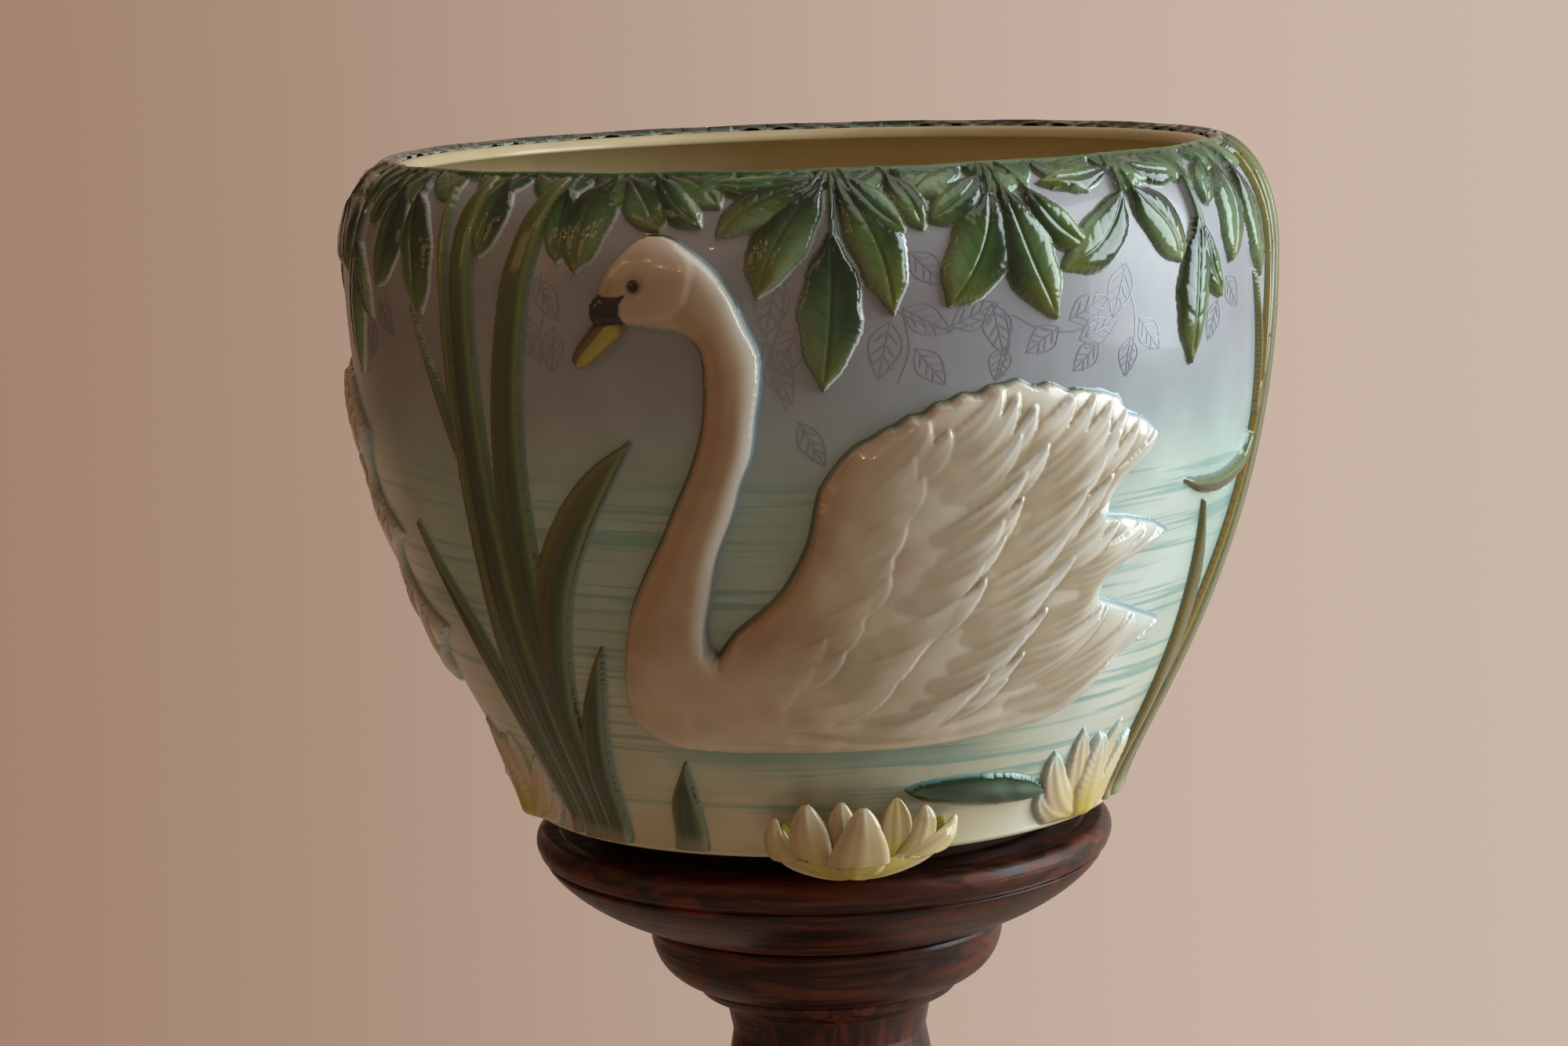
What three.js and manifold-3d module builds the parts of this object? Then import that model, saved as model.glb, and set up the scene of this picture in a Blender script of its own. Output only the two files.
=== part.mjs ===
// A glazed earthenware jardiniere with moulded swans, reeds, leaves and water lilies, standing on a
// turned hardwood stand. Millimetres, +Z up, origin on the floor under the axis. The swan that is
// seen from the front swims along the -Y side.
import * as THREE from 'three';
import { mergeVertices } from 'three/addons/utils/BufferGeometryUtils.js';
import Module from 'manifold-3d';

const wasm = await Module();
wasm.setup();

// ---- driving dimensions ----------------------------------------------------------------------

// bowl, heights from its bottom edge
const edgeRadius = 116;
const bellyRadius = 177.3;
const bellyHeight = 210;
const rimRadius = 155;
const bowlHeight = 248.3;
const flareHandle = 17.3;
const bellyHandle = 123;
const wallThickness = 8.5;
const lipThickness = 4.5;
const floorThickness = 10;
const footRadius = 92;
const footWidth = 12;
const footHeight = 12.2;
const undersideRise = 2;

// moulded ornament: how far each kind stands out of the wall
const swanRelief = 8;
const headRelief = 7;
const reedRelief = 4;
const leafRelief = 4;
const lilyRelief = 19;
const padRelief = 3.2;
const lutingGap = 0.3;
const thirds = 3;

// stand
const standHeight = 940;
const topRadius = 113.2;
const topFaceRadius = 110;
const topEdgeDepth = 12.5;
const topLowerRadius = 110.5;
const topDepth = 38.5;
const capitalRadius = 70.7;
const capitalBaseRadius = 53.5;
const capitalHeight = 25.7;
const neckRadius = 38.2;
const neckDrop = 21;
const balusterRadius = 54;
const waistRadius = 29;
const collarRadius = 37;
const knopRadius = 49;
const knopHeight = 46;
const lowerColumnHeight = 236;
const vaseRadius = 57;
const bellHeight = 92;
const bellRadius = 128;
const plinthRadius = 175;
const plinthThickness = 32;
const bunRadius = 34;
const bunHeight = 36;
const bunInset = 39;
const upperTenonRadius = 17;
const upperTenonLength = 44;
const middleTenonRadius = 16;
const middleTenonDepth = 38;
const lowerTenonRadius = 19;
const lowerTenonLength = 48;
const spigotRadius = 10;
const spigotLength = 20;
const screwShankRadius = 2.4;
const screwHeadRadius = 4.8;
const screwLength = 50;
const screwInset = 44;
const screwHeadSink = 1.5;
const jointGap = 0.3;
const screwGap = 0.35;
const seatGap = 0.3;

// facets round each turned or thrown piece
const bowlFacets = 42;
const topFacets = 28;
const columnFacets = 18;
const bunFacets = 12;
const screwFacets = 8;

// the ornament is drawn flat in units of its own, then stretched onto the wall: across runs round
// the bowl and up runs along the wall from the bottom edge to the crest of the lip
const drawing = { round: 1036.73, height: 268.9 };
const thirdAcross = drawing.round / thirds;
const rootDepth = 4;

// ---- finishes --------------------------------------------------------------------------------

const finish = (color, roughness, metalness = 0) =>
  new THREE.MeshStandardMaterial({ color, roughness, metalness });
const groundGlaze = finish('#b9c6c4', 0.15);
const leafGlaze = finish('#3f6b45', 0.15);
const swanGlaze = finish('#efe4d2', 0.18);
const reedGlaze = finish('#5a7040', 0.15);
const lilyGlaze = finish('#efe6b8', 0.18);
const padGlaze = finish('#3d6149', 0.15);
const hardwood = finish('#3b1f17', 0.35);
const steel = finish('#8b8a86', 0.4, 1);

// ---- solids ----------------------------------------------------------------------------------

// A closed solid from a three.js geometry: shared corners merged, faces of no area left out.
function solid(geometry) {
  geometry.deleteAttribute('normal');
  geometry.deleteAttribute('uv');
  const merged = mergeVertices(geometry, 1e-4);
  const corners = merged.index.array;
  const faces = [];
  for (let i = 0; i < corners.length; i += 3) {
    const [a, b, c] = corners.subarray(i, i + 3);
    if (a !== b && b !== c && c !== a) faces.push(a, b, c);
  }
  const vertProperties = new Float32Array(merged.attributes.position.array);
  const triVerts = new Uint32Array(faces);
  return new wasm.Manifold(new wasm.Mesh({ numProp: 3, vertProperties, triVerts }));
}

function geometryOf(manifold) {
  const { vertProperties, triVerts } = manifold.getMesh();
  const geometry = new THREE.BufferGeometry();
  geometry.setAttribute('position', new THREE.BufferAttribute(vertProperties, 3));
  geometry.setIndex(new THREE.BufferAttribute(triVerts, 1));
  return geometry;
}

const join = (solids) => wasm.Manifold.union(solids);

// A piece turned about the Z axis from a profile of [radius, height] points, listed up the outside.
function turned(profile, facets) {
  const points = profile.map(([radius, height]) => new THREE.Vector2(radius, height));
  return solid(new THREE.LatheGeometry(points, facets).rotateX(Math.PI / 2));
}

function curve(start, startHandle, endHandle, end, steps) {
  const corners = [start, startHandle, endHandle, end].map(([x, y]) => new THREE.Vector2(x, y));
  return new THREE.CubicBezierCurve(...corners).getPoints(steps).map((p) => [p.x, p.y]);
}

// A quarter of an ellipse from its widest point to its top, or the other way with from = 90.
function quarter(centre, halfWidth, halfHeight, steps, from = 0) {
  return Array.from({ length: steps + 1 }, (_, i) => {
    const turn = THREE.MathUtils.degToRad(from + ((from ? -90 : 90) * i) / steps);
    return [centre[0] + halfWidth * Math.cos(turn), centre[1] + halfHeight * Math.sin(turn)];
  });
}

// ---- the bowl --------------------------------------------------------------------------------

const wallSteps = 8;
const shoulderSteps = 6;

// outside of the wall from the bottom edge to the crest of the lip, grown outwards by grow
function outerWall(grow = 0, fine = 1) {
  const lower = curve(
    [edgeRadius, 0],
    [edgeRadius - flareHandle * 0.09, flareHandle],
    [bellyRadius, bellyHeight - bellyHandle],
    [bellyRadius, bellyHeight],
    wallSteps * fine,
  );
  const shoulder = quarter(
    [rimRadius, bellyHeight],
    bellyRadius - rimRadius,
    bowlHeight - bellyHeight,
    shoulderSteps * fine,
  );
  const wall = [...lower, ...shoulder.slice(1)];
  return wall.map((point, i) => {
    const before = wall[Math.max(i - 1, 0)];
    const after = wall[Math.min(i + 1, wall.length - 1)];
    const run = Math.hypot(after[0] - before[0], after[1] - before[1]);
    const outward = [(after[1] - before[1]) / run, (before[0] - after[0]) / run];
    return [point[0] + grow * outward[0], point[1] + grow * outward[1]];
  });
}

function innerWall() {
  const mouthRadius = rimRadius - lipThickness;
  const insideBelly = bellyRadius - wallThickness;
  const floorHeight = floorThickness - undersideRise;
  const floorRadius = edgeRadius - wallThickness;
  const lip = quarter([rimRadius, bowlHeight - lipThickness], -lipThickness, lipThickness, 2, 90);
  const shoulder = quarter(
    [mouthRadius, bellyHeight],
    insideBelly - mouthRadius,
    bowlHeight - lipThickness - bellyHeight,
    4,
    90,
  );
  const lower = curve(
    [insideBelly, bellyHeight],
    [insideBelly, bellyHeight - bellyHandle],
    [floorRadius, floorHeight + flareHandle],
    [floorRadius - wallThickness, floorHeight],
    5,
  );
  return [...lip.slice(1), ...shoulder.slice(1), ...lower.slice(1)];
}

function bowlBody() {
  const footInside = footRadius - footWidth;
  const underside = undersideRise - floorThickness * 0.4;
  const foot = [
    [0, underside],
    [footInside, underside],
    [footInside, -footHeight],
    [footRadius, -footHeight],
    [footRadius + undersideRise, -undersideRise],
    [edgeRadius - undersideRise, -undersideRise],
  ];
  const inside = innerWall();
  return turned([...foot, ...outerWall(), ...inside, [0, inside.at(-1)[1]]], bowlFacets);
}

// The bowl as one block, grown by the luting gap. It is cut out of every ornament.
function bowlBlock() {
  const wall = outerWall(lutingGap);
  const below = [wall[0][0], -2 * lilyRelief];
  const closing = [0, wall.at(-1)[1]];
  return turned([[0, below[1]], below, ...wall, closing], bowlFacets);
}

// ---- ornament on the wall --------------------------------------------------------------------

const fineWall = outerWall(0, 6);
const wallRun = [0];
for (let i = 1; i < fineWall.length; i += 1) {
  const [before, after] = [fineWall[i - 1], fineWall[i]];
  wallRun.push(wallRun[i - 1] + Math.hypot(after[0] - before[0], after[1] - before[1]));
}

// The place in space of a point of the drawing, lifted off the wall.
function onWall(across, up, lift) {
  const run = (up / drawing.height) * wallRun.at(-1);
  const last = fineWall.length - 2;
  const i = THREE.MathUtils.clamp(wallRun.findIndex((length) => length > run) - 1, 0, last);
  const cell = run > wallRun[last] ? last : i;
  const [a, b] = [fineWall[cell], fineWall[cell + 1]];
  const span = wallRun[cell + 1] - wallRun[cell];
  const share = run < 0 ? 0 : (run - wallRun[cell]) / span;
  const outward = run < 0 ? [1, 0] : [(b[1] - a[1]) / span, (a[0] - b[0]) / span];
  const radius = a[0] + (b[0] - a[0]) * share + lift * outward[0];
  const height = a[1] + (b[1] - a[1]) * share + lift * outward[1] + Math.min(run, 0);
  const angle = (2 * Math.PI * across) / drawing.round;
  return new THREE.Vector3(radius * Math.sin(angle), -radius * Math.cos(angle), height);
}

// cross-sections of a stroke, as [side, rise] shares of its half width and relief
const roundSection = [[1, 0.25], [0.58, 0.9], [-0.58, 0.9], [-1, 0.25]];
const bladeSection = [[1, 0.36], [0, 1], [-1, 0.36]];

// A raised stroke: stations of [across, up, half width, rise share], a section and a relief.
function stroke(stations, section, relief, { grow = 0, shift = 0 } = {}) {
  const rings = stations.map(([across, up, halfWidth, rise], i) => {
    const before = stations[Math.max(i - 1, 0)];
    const after = stations[Math.min(i + 1, stations.length - 1)];
    const run = Math.hypot(after[0] - before[0], after[1] - before[1]);
    const side = [(before[1] - after[1]) / run, (after[0] - before[0]) / run];
    const at = (sideShare, lift) => onWall(
      across + shift + side[0] * sideShare * (halfWidth + grow),
      up + side[1] * sideShare * (halfWidth + grow),
      lift,
    );
    const top = section.map(([sideShare, riseShare]) =>
      at(sideShare, riseShare * rise * relief + grow));
    const roots = section === roundSection || grow > 0 ? [-1, 1] : [];
    return [...top, ...roots.map((sideShare) => at(sideShare, -rootDepth))];
  });
  const size = rings[0].length;
  const last = (rings.length - 1) * size;
  const index = [];
  for (let i = 0; i < last; i += size) {
    for (let j = 0; j < size; j += 1) {
      const next = (j + 1) % size;
      index.push(i + j, i + next, i + size + next);
      index.push(i + j, i + size + next, i + size + j);
    }
  }
  for (let j = 1; j + 1 < size; j += 1) {
    index.push(0, j + 1, j);
    index.push(last, last + j, last + j + 1);
  }
  const geometry = new THREE.BufferGeometry().setFromPoints(rings.flat());
  geometry.setIndex(index);
  return solid(geometry);
}

// swan: one stroke for each of bill, head and neck, body, and the lobes of the raised wing
const billLine = [[-79.5, 198, 2.8, 0.4], [-70, 208.5, 5.6, 0.7], [-62, 217.5, 6.6, 0.76]];
const headAndNeckLine = [
  [-67.5, 221, 6, 0.6], [-61, 224.5, 13, 0.95], [-46, 225, 14.6, 1.1], [-35.5, 219, 11.5, 1.05],
  [-28.5, 207, 9.8, 1], [-25, 190, 9.3, 1], [-28.5, 168, 9, 1], [-37, 146, 10, 1],
  [-48, 123, 12.3, 1.1], [-56.5, 101, 17, 1.18], [-58.5, 80, 21, 1.2], [-54, 60, 15.5, 0.8],
];
const bodyLine = [
  [-75, 72, 9, 0.4], [-60, 72, 20.5, 0.95], [-30, 73, 24, 1.1], [22, 74, 25, 1.15],
  [65, 76, 25.5, 1.05], [104, 79, 20.5, 0.7], [130, 82.5, 11.5, 0.5], [158, 86.5, 1.5, 0.25],
];
const wingLines = [
  [
    [-37, 91, 2.5, 0.4], [-14, 101.5, 6.5, 0.85], [5, 122, 12, 1.1], [22, 143.5, 18, 1.18],
    [54, 159.5, 24, 1.1], [84, 163.5, 20.5, 0.9], [112, 160, 12, 0.6], [132, 160.5, 1.8, 0.25],
  ],
  [
    [-14, 90, 14, 0.95], [12, 105, 22, 1.1], [50, 120, 26, 1.15], [88, 125, 20, 0.9],
    [118, 124.5, 8.5, 0.55], [146, 123, 1.6, 0.25],
  ],
  [[20, 100, 20, 1.1], [64, 104, 18, 1.1], [106, 103.5, 3.5, 0.55]],
];

function swan(options) {
  return join([
    stroke(billLine, roundSection, headRelief, options),
    stroke(headAndNeckLine, roundSection, headRelief, options),
    stroke(bodyLine, roundSection, swanRelief, options),
    ...wingLines.map((line) => stroke(line, roundSection, swanRelief, options)),
  ]);
}

// reeds: the blades of one clump, each from its root up to its tip
const reedLines = [
  [
    [-134, 1, 8, 0.8], [-132.5, 48, 8.5, 0.95], [-130, 92, 7.6, 0.95], [-126.5, 138, 6.2, 0.9],
    [-125, 184, 5, 0.9], [-124.5, 222, 5, 0.9], [-124, 236, 5, 0.95], [-123, 248, 4.6, 1],
    [-120.5, 259, 3, 0.9],
  ],
  [
    [-124, 1, 7, 0.8], [-120.5, 45, 8.4, 1], [-116.5, 92, 8.4, 1.05], [-112.5, 138, 7.5, 1.05],
    [-108, 180, 6.5, 0.95],
    [-101.5, 218, 5.8, 0.9], [-97, 235, 5.2, 0.95], [-93, 248, 4.6, 1], [-88, 259, 2.6, 0.9],
  ],
  [
    [-150, 2, 4, 0.75], [-147, 45, 4, 0.75], [-142, 82, 3.4, 0.85], [-136.5, 118, 2.8, 0.85],
    [-133.5, 155, 2, 0.85], [-132.5, 190, 1.9, 0.8], [-133, 222, 1.8, 0.75],
    [-134.5, 240, 1.8, 0.8], [-136.5, 256, 1.5, 0.8],
  ],
  [[-134.5, 160, 1.8, 0.75], [-141, 185, 2.2, 0.75], [-152, 214, 0.8, 0.6]],
  [
    [-149, 8, 5, 0.75], [-150.5, 40, 6, 0.75], [-155, 72, 6.3, 0.75], [-163, 100, 5, 0.75],
    [-176, 131, 1, 0.6],
  ],
  [
    [-126, 1, 6, 0.8], [-123, 38, 7, 0.95], [-115, 75, 8.5, 1.05], [-103, 110, 8.2, 1.05],
    [-89, 135, 7, 0.95], [-75, 154, 4.8, 0.8], [-61, 169, 0.9, 0.6],
  ],
  [
    [-114, 1, 6.5, 0.95], [-112, 28, 7.2, 1.1], [-104.5, 52, 6.2, 1.05], [-94.5, 73, 3.6, 0.85],
    [-87.5, 88, 0.8, 0.6],
  ],
];
const bentBladeLine = [
  [-136, 149, 2.5, 0.75], [-145, 141, 3, 0.8], [-166, 137, 3.2, 0.8], [-181, 138, 2.6, 0.75],
  [-193, 141, 1, 0.6],
];
const sproutLine = [
  [-70.5, 1, 9.5, 0.8], [-69, 16, 8, 0.9], [-65.5, 29, 4, 0.8], [-62.5, 39, 0.8, 0.6],
];

function reeds(options, extraLines = []) {
  const lines = [...reedLines, ...extraLines];
  return join(lines.map((line) => stroke(line, bladeSection, reedRelief, options)));
}

const sprout = () => stroke(sproutLine, bladeSection, reedRelief);

// leaves: [base across, base up, tip across, tip up, half width, across of the twig it hangs from]
const leafList = [
  [-112, 261, -117, 232, 5.5, -112], [-84, 257, -84, 231, 5.5, -82], [-67, 262, -77, 228, 8, -66],
  [-62, 262, -48, 242, 6.5, -63], [-51, 262, -34, 243, 5, -55], [4, 260, -35, 259.5, 4.5, 8],
  [2, 257, -29, 240, 6.5, 8], [5, 256, -16, 219, 8, 9], [8, 239, 4, 187, 8.5, 9],
  [11, 258, 27, 212, 7.5, 10], [14, 260, 32, 240, 6, 12], [28, 261, 38, 240, 5, 26],
  [60, 258, 40, 243, 6, 64], [62, 251, 45, 214, 9.3, 65], [67, 253, 83, 207, 8.3, 66],
  [76, 252, 96, 230, 6, 70], [114, 248, 85, 224, 7.3, 118], [114, 258, 82, 255, 4.2, 118],
  [120, 249, 138, 222, 8, 119], [123, 259, 148, 253, 4.2, 121], [149, 236, 145, 185, 7.3, 149],
  [151, 234, 163, 207, 5, 150], [168, 257, 158, 241, 5, 170], [176, 256, 170, 219, 8.3, 176],
  [190, 253, 199, 211, 7.3, 188],
];
const leafShape = [[0, 0.2, 1], [0.32, 1, 1.1], [0.66, 0.85, 1.1], [1, 0.07, 0.95]];
const twig = { start: -129.8, up: 265.2, halfWidth: 1.7, steps: 16 };
const stem = { halfWidth: 1.3, step: 9 };

function leafStations([baseAcross, baseUp, tipAcross, tipUp, halfWidth, hangAcross]) {
  const blade = leafShape.map(([along, width, rise]) => [
    baseAcross + (tipAcross - baseAcross) * along,
    baseUp + (tipUp - baseUp) * along,
    Math.max(halfWidth * width, 0.5),
    rise,
  ]);
  const stemSteps = Math.ceil((twig.up - baseUp) / stem.step);
  const hung = Array.from({ length: stemSteps }, (_, i) => [
    hangAcross + ((baseAcross - hangAcross) * i) / stemSteps,
    twig.up + ((baseUp - twig.up) * i) / stemSteps,
    stem.halfWidth,
    0.9,
  ]);
  return [...hung, ...blade];
}

function garland(cutters) {
  const twigLine = Array.from({ length: twig.steps + 1 }, (_, i) => {
    const across = twig.start + lutingGap + ((thirdAcross - 2 * lutingGap) * i) / twig.steps;
    return [across, twig.up, twig.halfWidth, 0.9];
  });
  const sprays = leafList.map((leaf) => stroke(leafStations(leaf), bladeSection, leafRelief));
  const whole = join([stroke(twigLine, bladeSection, leafRelief), ...sprays]);
  return whole.subtract(join(cutters));
}

// water lilies: petals as short broad strokes, the outermost ones curled into a boat
const frontLilyLines = [
  [[-31, 8, 2.5, 0.2], [-12, -2, 7.5, 0.6], [19, -4.5, 6, 0.86], [50, -1, 7.5, 0.6], [68, 9, 2.5, 0.2]],
  [[19, -8, 9, 0.95], [18.5, 5, 15, 1.05], [20, 16, 7.5, 0.75], [21, 21, 1.5, 0.5]],
  [[-2, -2, 9, 0.65], [-5, 12, 9, 0.62], [-9, 22, 1.5, 0.36]],
  [[38, -2, 8, 0.65], [39, 12, 9, 0.62], [35, 22.5, 1.5, 0.36]],
  [[-13, 0, 8, 0.5], [-20, 8, 6, 0.4], [-24, 15.5, 1, 0.22]],
  [[48, 2, 8, 0.5], [53, 11, 6.5, 0.45], [54, 19, 1.2, 0.26]],
];
const sideLilyLines = [
  [[118, 13, 2.5, 0.16], [133, 5, 6.5, 0.48], [152, 3.5, 7, 0.58], [171, 5, 6.5, 0.48], [187, 14, 2.5, 0.16]],
  [[152, 2, 9, 0.68], [152, 15, 13, 0.7], [150, 37, 1.5, 0.3]],
  [[140, 5, 8, 0.48], [131, 17, 7, 0.42], [120, 33, 1, 0.2]],
  [[164, 5, 8, 0.48], [174, 17, 7, 0.42], [185, 32, 1, 0.2]],
];
const padLine = [[40, 25.5, 1.5, 0.9], [60, 24, 6, 1], [99, 20.5, 6.4, 1], [121, 17.5, 1.5, 0.9]];

function lily(lines, options) {
  return join(lines.map((line) => stroke(line, roundSection, lilyRelief, options)));
}

// ---- the stand -------------------------------------------------------------------------------

const plinthBottom = bunHeight + jointGap;
const plinthTop = plinthBottom + plinthThickness;
const bellBottom = plinthTop + jointGap;
const bellTop = bellBottom + bellHeight;
const lowerBottom = bellTop + jointGap;
const lowerTop = lowerBottom + lowerColumnHeight;
const knopBottom = lowerTop + jointGap;
const knopTop = knopBottom + knopHeight;
const upperBottom = knopTop + jointGap;
const topBottom = standHeight - topDepth;
const capitalTop = topBottom - jointGap;
const capitalBottom = capitalTop - capitalHeight;
const upperTop = capitalBottom - jointGap;

function standTop() {
  const socketRadius = upperTenonRadius + jointGap;
  const socketTop = upperTop + upperTenonLength + jointGap;
  const edgeBottom = standHeight - topEdgeDepth;
  const ovoloWidth = topLowerRadius - capitalRadius;
  const ovoloHeight = edgeBottom - topBottom;
  const ovolo = curve(
    [capitalRadius, topBottom],
    [capitalRadius + ovoloWidth * 0.43, topBottom + ovoloHeight * 0.19],
    [topLowerRadius - ovoloWidth * 0.14, topBottom + ovoloHeight * 0.62],
    [topLowerRadius, edgeBottom],
    5,
  );
  return turned([
    [0, socketTop],
    [socketRadius, socketTop],
    [socketRadius, topBottom],
    ...ovolo,
    [topRadius - 0.7, edgeBottom + 1.5],
    [topRadius, standHeight - topEdgeDepth * 0.5],
    [topRadius - 0.9, standHeight - 1.8],
    [topFaceRadius, standHeight],
    [0, standHeight],
  ], topFacets);
}

function capital() {
  const boreRadius = upperTenonRadius + jointGap;
  const cup = curve(
    [capitalBaseRadius, capitalBottom],
    [capitalBaseRadius + 9, capitalBottom + 3],
    [capitalRadius - 2, capitalBottom + capitalHeight * 0.35],
    [capitalRadius - 1, capitalTop - 5],
    4,
  );
  return turned([
    [boreRadius, capitalBottom],
    ...cup,
    [capitalRadius, capitalTop - 2.5],
    [capitalRadius - 0.8, capitalTop],
    [boreRadius, capitalTop],
    [boreRadius, capitalBottom],
  ], columnFacets);
}

function upperColumn() {
  const neckBottom = upperTop - neckDrop;
  const columnHeight = neckBottom - upperBottom;
  const tenonBottom = upperBottom - knopHeight - middleTenonDepth;
  const belly = curve(
    [neckRadius, neckBottom],
    [neckRadius + (balusterRadius - neckRadius) * 1.4, neckBottom - columnHeight * 0.3],
    [waistRadius + (balusterRadius - waistRadius) * 0.9, neckBottom - columnHeight * 0.5],
    [waistRadius, upperBottom + 24],
    7,
  );
  return turned([
    [0, tenonBottom],
    [middleTenonRadius, tenonBottom],
    [middleTenonRadius, upperBottom],
    [collarRadius, upperBottom],
    [collarRadius + 2, upperBottom + 5],
    [collarRadius, upperBottom + 10],
    [waistRadius + 2, upperBottom + 13],
    ...belly.reverse(),
    [neckRadius + 2.3, upperTop - 9.5],
    [capitalBaseRadius - 2.9, upperTop - 4],
    [capitalBaseRadius - 0.6, upperTop],
    [upperTenonRadius, upperTop],
    [upperTenonRadius, upperTop + upperTenonLength],
    [0, upperTop + upperTenonLength],
  ], columnFacets);
}

function columnKnop() {
  const boreRadius = middleTenonRadius + jointGap;
  const middle = (knopBottom + knopTop) / 2;
  const flat = 6;
  const ring = curve(
    [collarRadius, knopBottom + flat],
    [knopRadius + 4, knopBottom + flat],
    [knopRadius + 4, knopTop - flat],
    [collarRadius, knopTop - flat],
    6,
  );
  return turned([
    [boreRadius, knopBottom],
    [collarRadius, knopBottom],
    ...ring.filter(([, height]) => height < middle),
    [knopRadius, middle],
    ...ring.filter(([, height]) => height > middle),
    [collarRadius, knopTop],
    [boreRadius, knopTop],
    [boreRadius, knopBottom],
  ], columnFacets);
}

function lowerColumn() {
  const socketRadius = middleTenonRadius + jointGap;
  const socketFloor = upperBottom - knopHeight - middleTenonDepth - jointGap;
  const vase = curve(
    [waistRadius + 3, lowerBottom + 26],
    [waistRadius + 3, lowerBottom + lowerColumnHeight * 0.5],
    [vaseRadius + 12, lowerTop - lowerColumnHeight * 0.42],
    [collarRadius - 5, lowerTop - 12],
    7,
  );
  return turned([
    [0, lowerBottom - lowerTenonLength],
    [lowerTenonRadius, lowerBottom - lowerTenonLength],
    [lowerTenonRadius, lowerBottom],
    [collarRadius + 5, lowerBottom],
    [collarRadius + 8, lowerBottom + 7],
    [collarRadius + 5, lowerBottom + 14],
    [collarRadius - 2, lowerBottom + 16],
    ...vase,
    [collarRadius, lowerTop - 7],
    [collarRadius, lowerTop],
    [socketRadius, lowerTop],
    [socketRadius, socketFloor],
    [0, socketFloor],
  ], columnFacets);
}

function ringOf(count, radius, firstDegrees, make) {
  return Array.from({ length: count }, (_, i) => {
    const angle = THREE.MathUtils.degToRad(firstDegrees + (360 * i) / count);
    return make(radius * Math.cos(angle), radius * Math.sin(angle), i + 1);
  });
}

const bunCount = 4;
const bunCircle = plinthRadius - bunInset;
const screwCount = 4;
const screwCircle = bellRadius - screwInset;

function plug(radius, bottom, top, facets, x, y) {
  const points = [[0, bottom], [radius, bottom], [radius, top], [0, top]];
  const path = points.map(([r, z]) => new THREE.Vector2(r, z));
  const geometry = new THREE.LatheGeometry(path, facets).rotateX(Math.PI / 2).translate(x, y, 0);
  return solid(geometry);
}

const screwHeadBottom = plinthBottom + screwHeadSink;
const screwHeadHeight = screwHeadRadius - screwShankRadius;
const screwTip = screwHeadBottom + screwLength;

function baseBell() {
  const socketFloor = lowerBottom - lowerTenonLength - jointGap;
  const socketRadius = lowerTenonRadius + jointGap;
  const flare = curve(
    [bellRadius - 8, bellBottom + 16],
    [bellRadius * 0.61, bellBottom + bellHeight * 0.22],
    [collarRadius + 16, bellTop - bellHeight * 0.48],
    [collarRadius + 12, bellTop - 6],
    5,
  );
  const bell = turned([
    [0, bellBottom],
    [bellRadius, bellBottom],
    [bellRadius + 2, bellBottom + 6],
    [bellRadius, bellBottom + 12],
    ...flare,
    [collarRadius + 9, bellTop],
    [socketRadius, bellTop],
    [socketRadius, socketFloor],
    [0, socketFloor],
  ], topFacets);
  const pilotTop = screwTip + screwGap;
  const pilots = ringOf(screwCount, screwCircle, 0, (x, y) =>
    plug(screwShankRadius + screwGap, bellBottom - 1, pilotTop, screwFacets, x, y));
  return bell.subtract(join(pilots));
}

function plinth() {
  const board = turned([
    [0, plinthBottom],
    [plinthRadius - 4, plinthBottom],
    [plinthRadius, plinthBottom + 4],
    [plinthRadius, plinthTop - 14],
    [plinthRadius - 4, plinthTop - 11],
    [plinthRadius - 7, plinthTop - 3],
    [plinthRadius - 12, plinthTop],
    [0, plinthTop],
  ], topFacets);
  const sockets = ringOf(bunCount, bunCircle, 45, (x, y) => {
    const socketTop = bunHeight + spigotLength + jointGap;
    return plug(spigotRadius + jointGap, plinthBottom - 1, socketTop, bunFacets, x, y);
  });
  const sinkRadius = screwHeadRadius + screwGap;
  const shankRadius = screwShankRadius + screwGap;
  const screwHoles = ringOf(screwCount, screwCircle, 0, (x, y) => {
    const path = [
      [0, plinthBottom - 1],
      [sinkRadius, plinthBottom - 1],
      [sinkRadius, screwHeadBottom + screwGap],
      [shankRadius, screwHeadBottom + screwHeadHeight + 2 * screwGap],
      [shankRadius, plinthTop + 1],
      [0, plinthTop + 1],
    ].map(([r, z]) => new THREE.Vector2(r, z));
    const lathe = new THREE.LatheGeometry(path, screwFacets).rotateX(Math.PI / 2);
    return solid(lathe.translate(x, y, 0));
  });
  return board.subtract(join([...sockets, ...screwHoles]));
}

function bunFoot() {
  const soleRadius = bunRadius * 0.62;
  const neck = bunRadius * 0.6;
  const bulge = curve(
    [soleRadius, 0],
    [bunRadius * 1.14, bunHeight * 0.08],
    [bunRadius * 1.14, bunHeight * 0.74],
    [neck, bunHeight * 0.82],
    5,
  );
  return turned([
    [0, 0],
    ...bulge,
    [neck + 2, bunHeight],
    [spigotRadius, bunHeight],
    [spigotRadius, bunHeight + spigotLength],
    [0, bunHeight + spigotLength],
  ], bunFacets);
}

function plinthScrew() {
  return turned([
    [0, screwHeadBottom],
    [screwHeadRadius, screwHeadBottom],
    [screwShankRadius, screwHeadBottom + screwHeadHeight],
    [screwShankRadius, screwTip - 6],
    [0, screwTip],
  ], screwFacets);
}

// ---- assembly --------------------------------------------------------------------------------

const part = new THREE.Group();

function place(parent, name, geometry, material) {
  const mesh = new THREE.Mesh(geometry, material);
  mesh.name = name;
  parent.add(mesh);
  return mesh;
}

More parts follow.
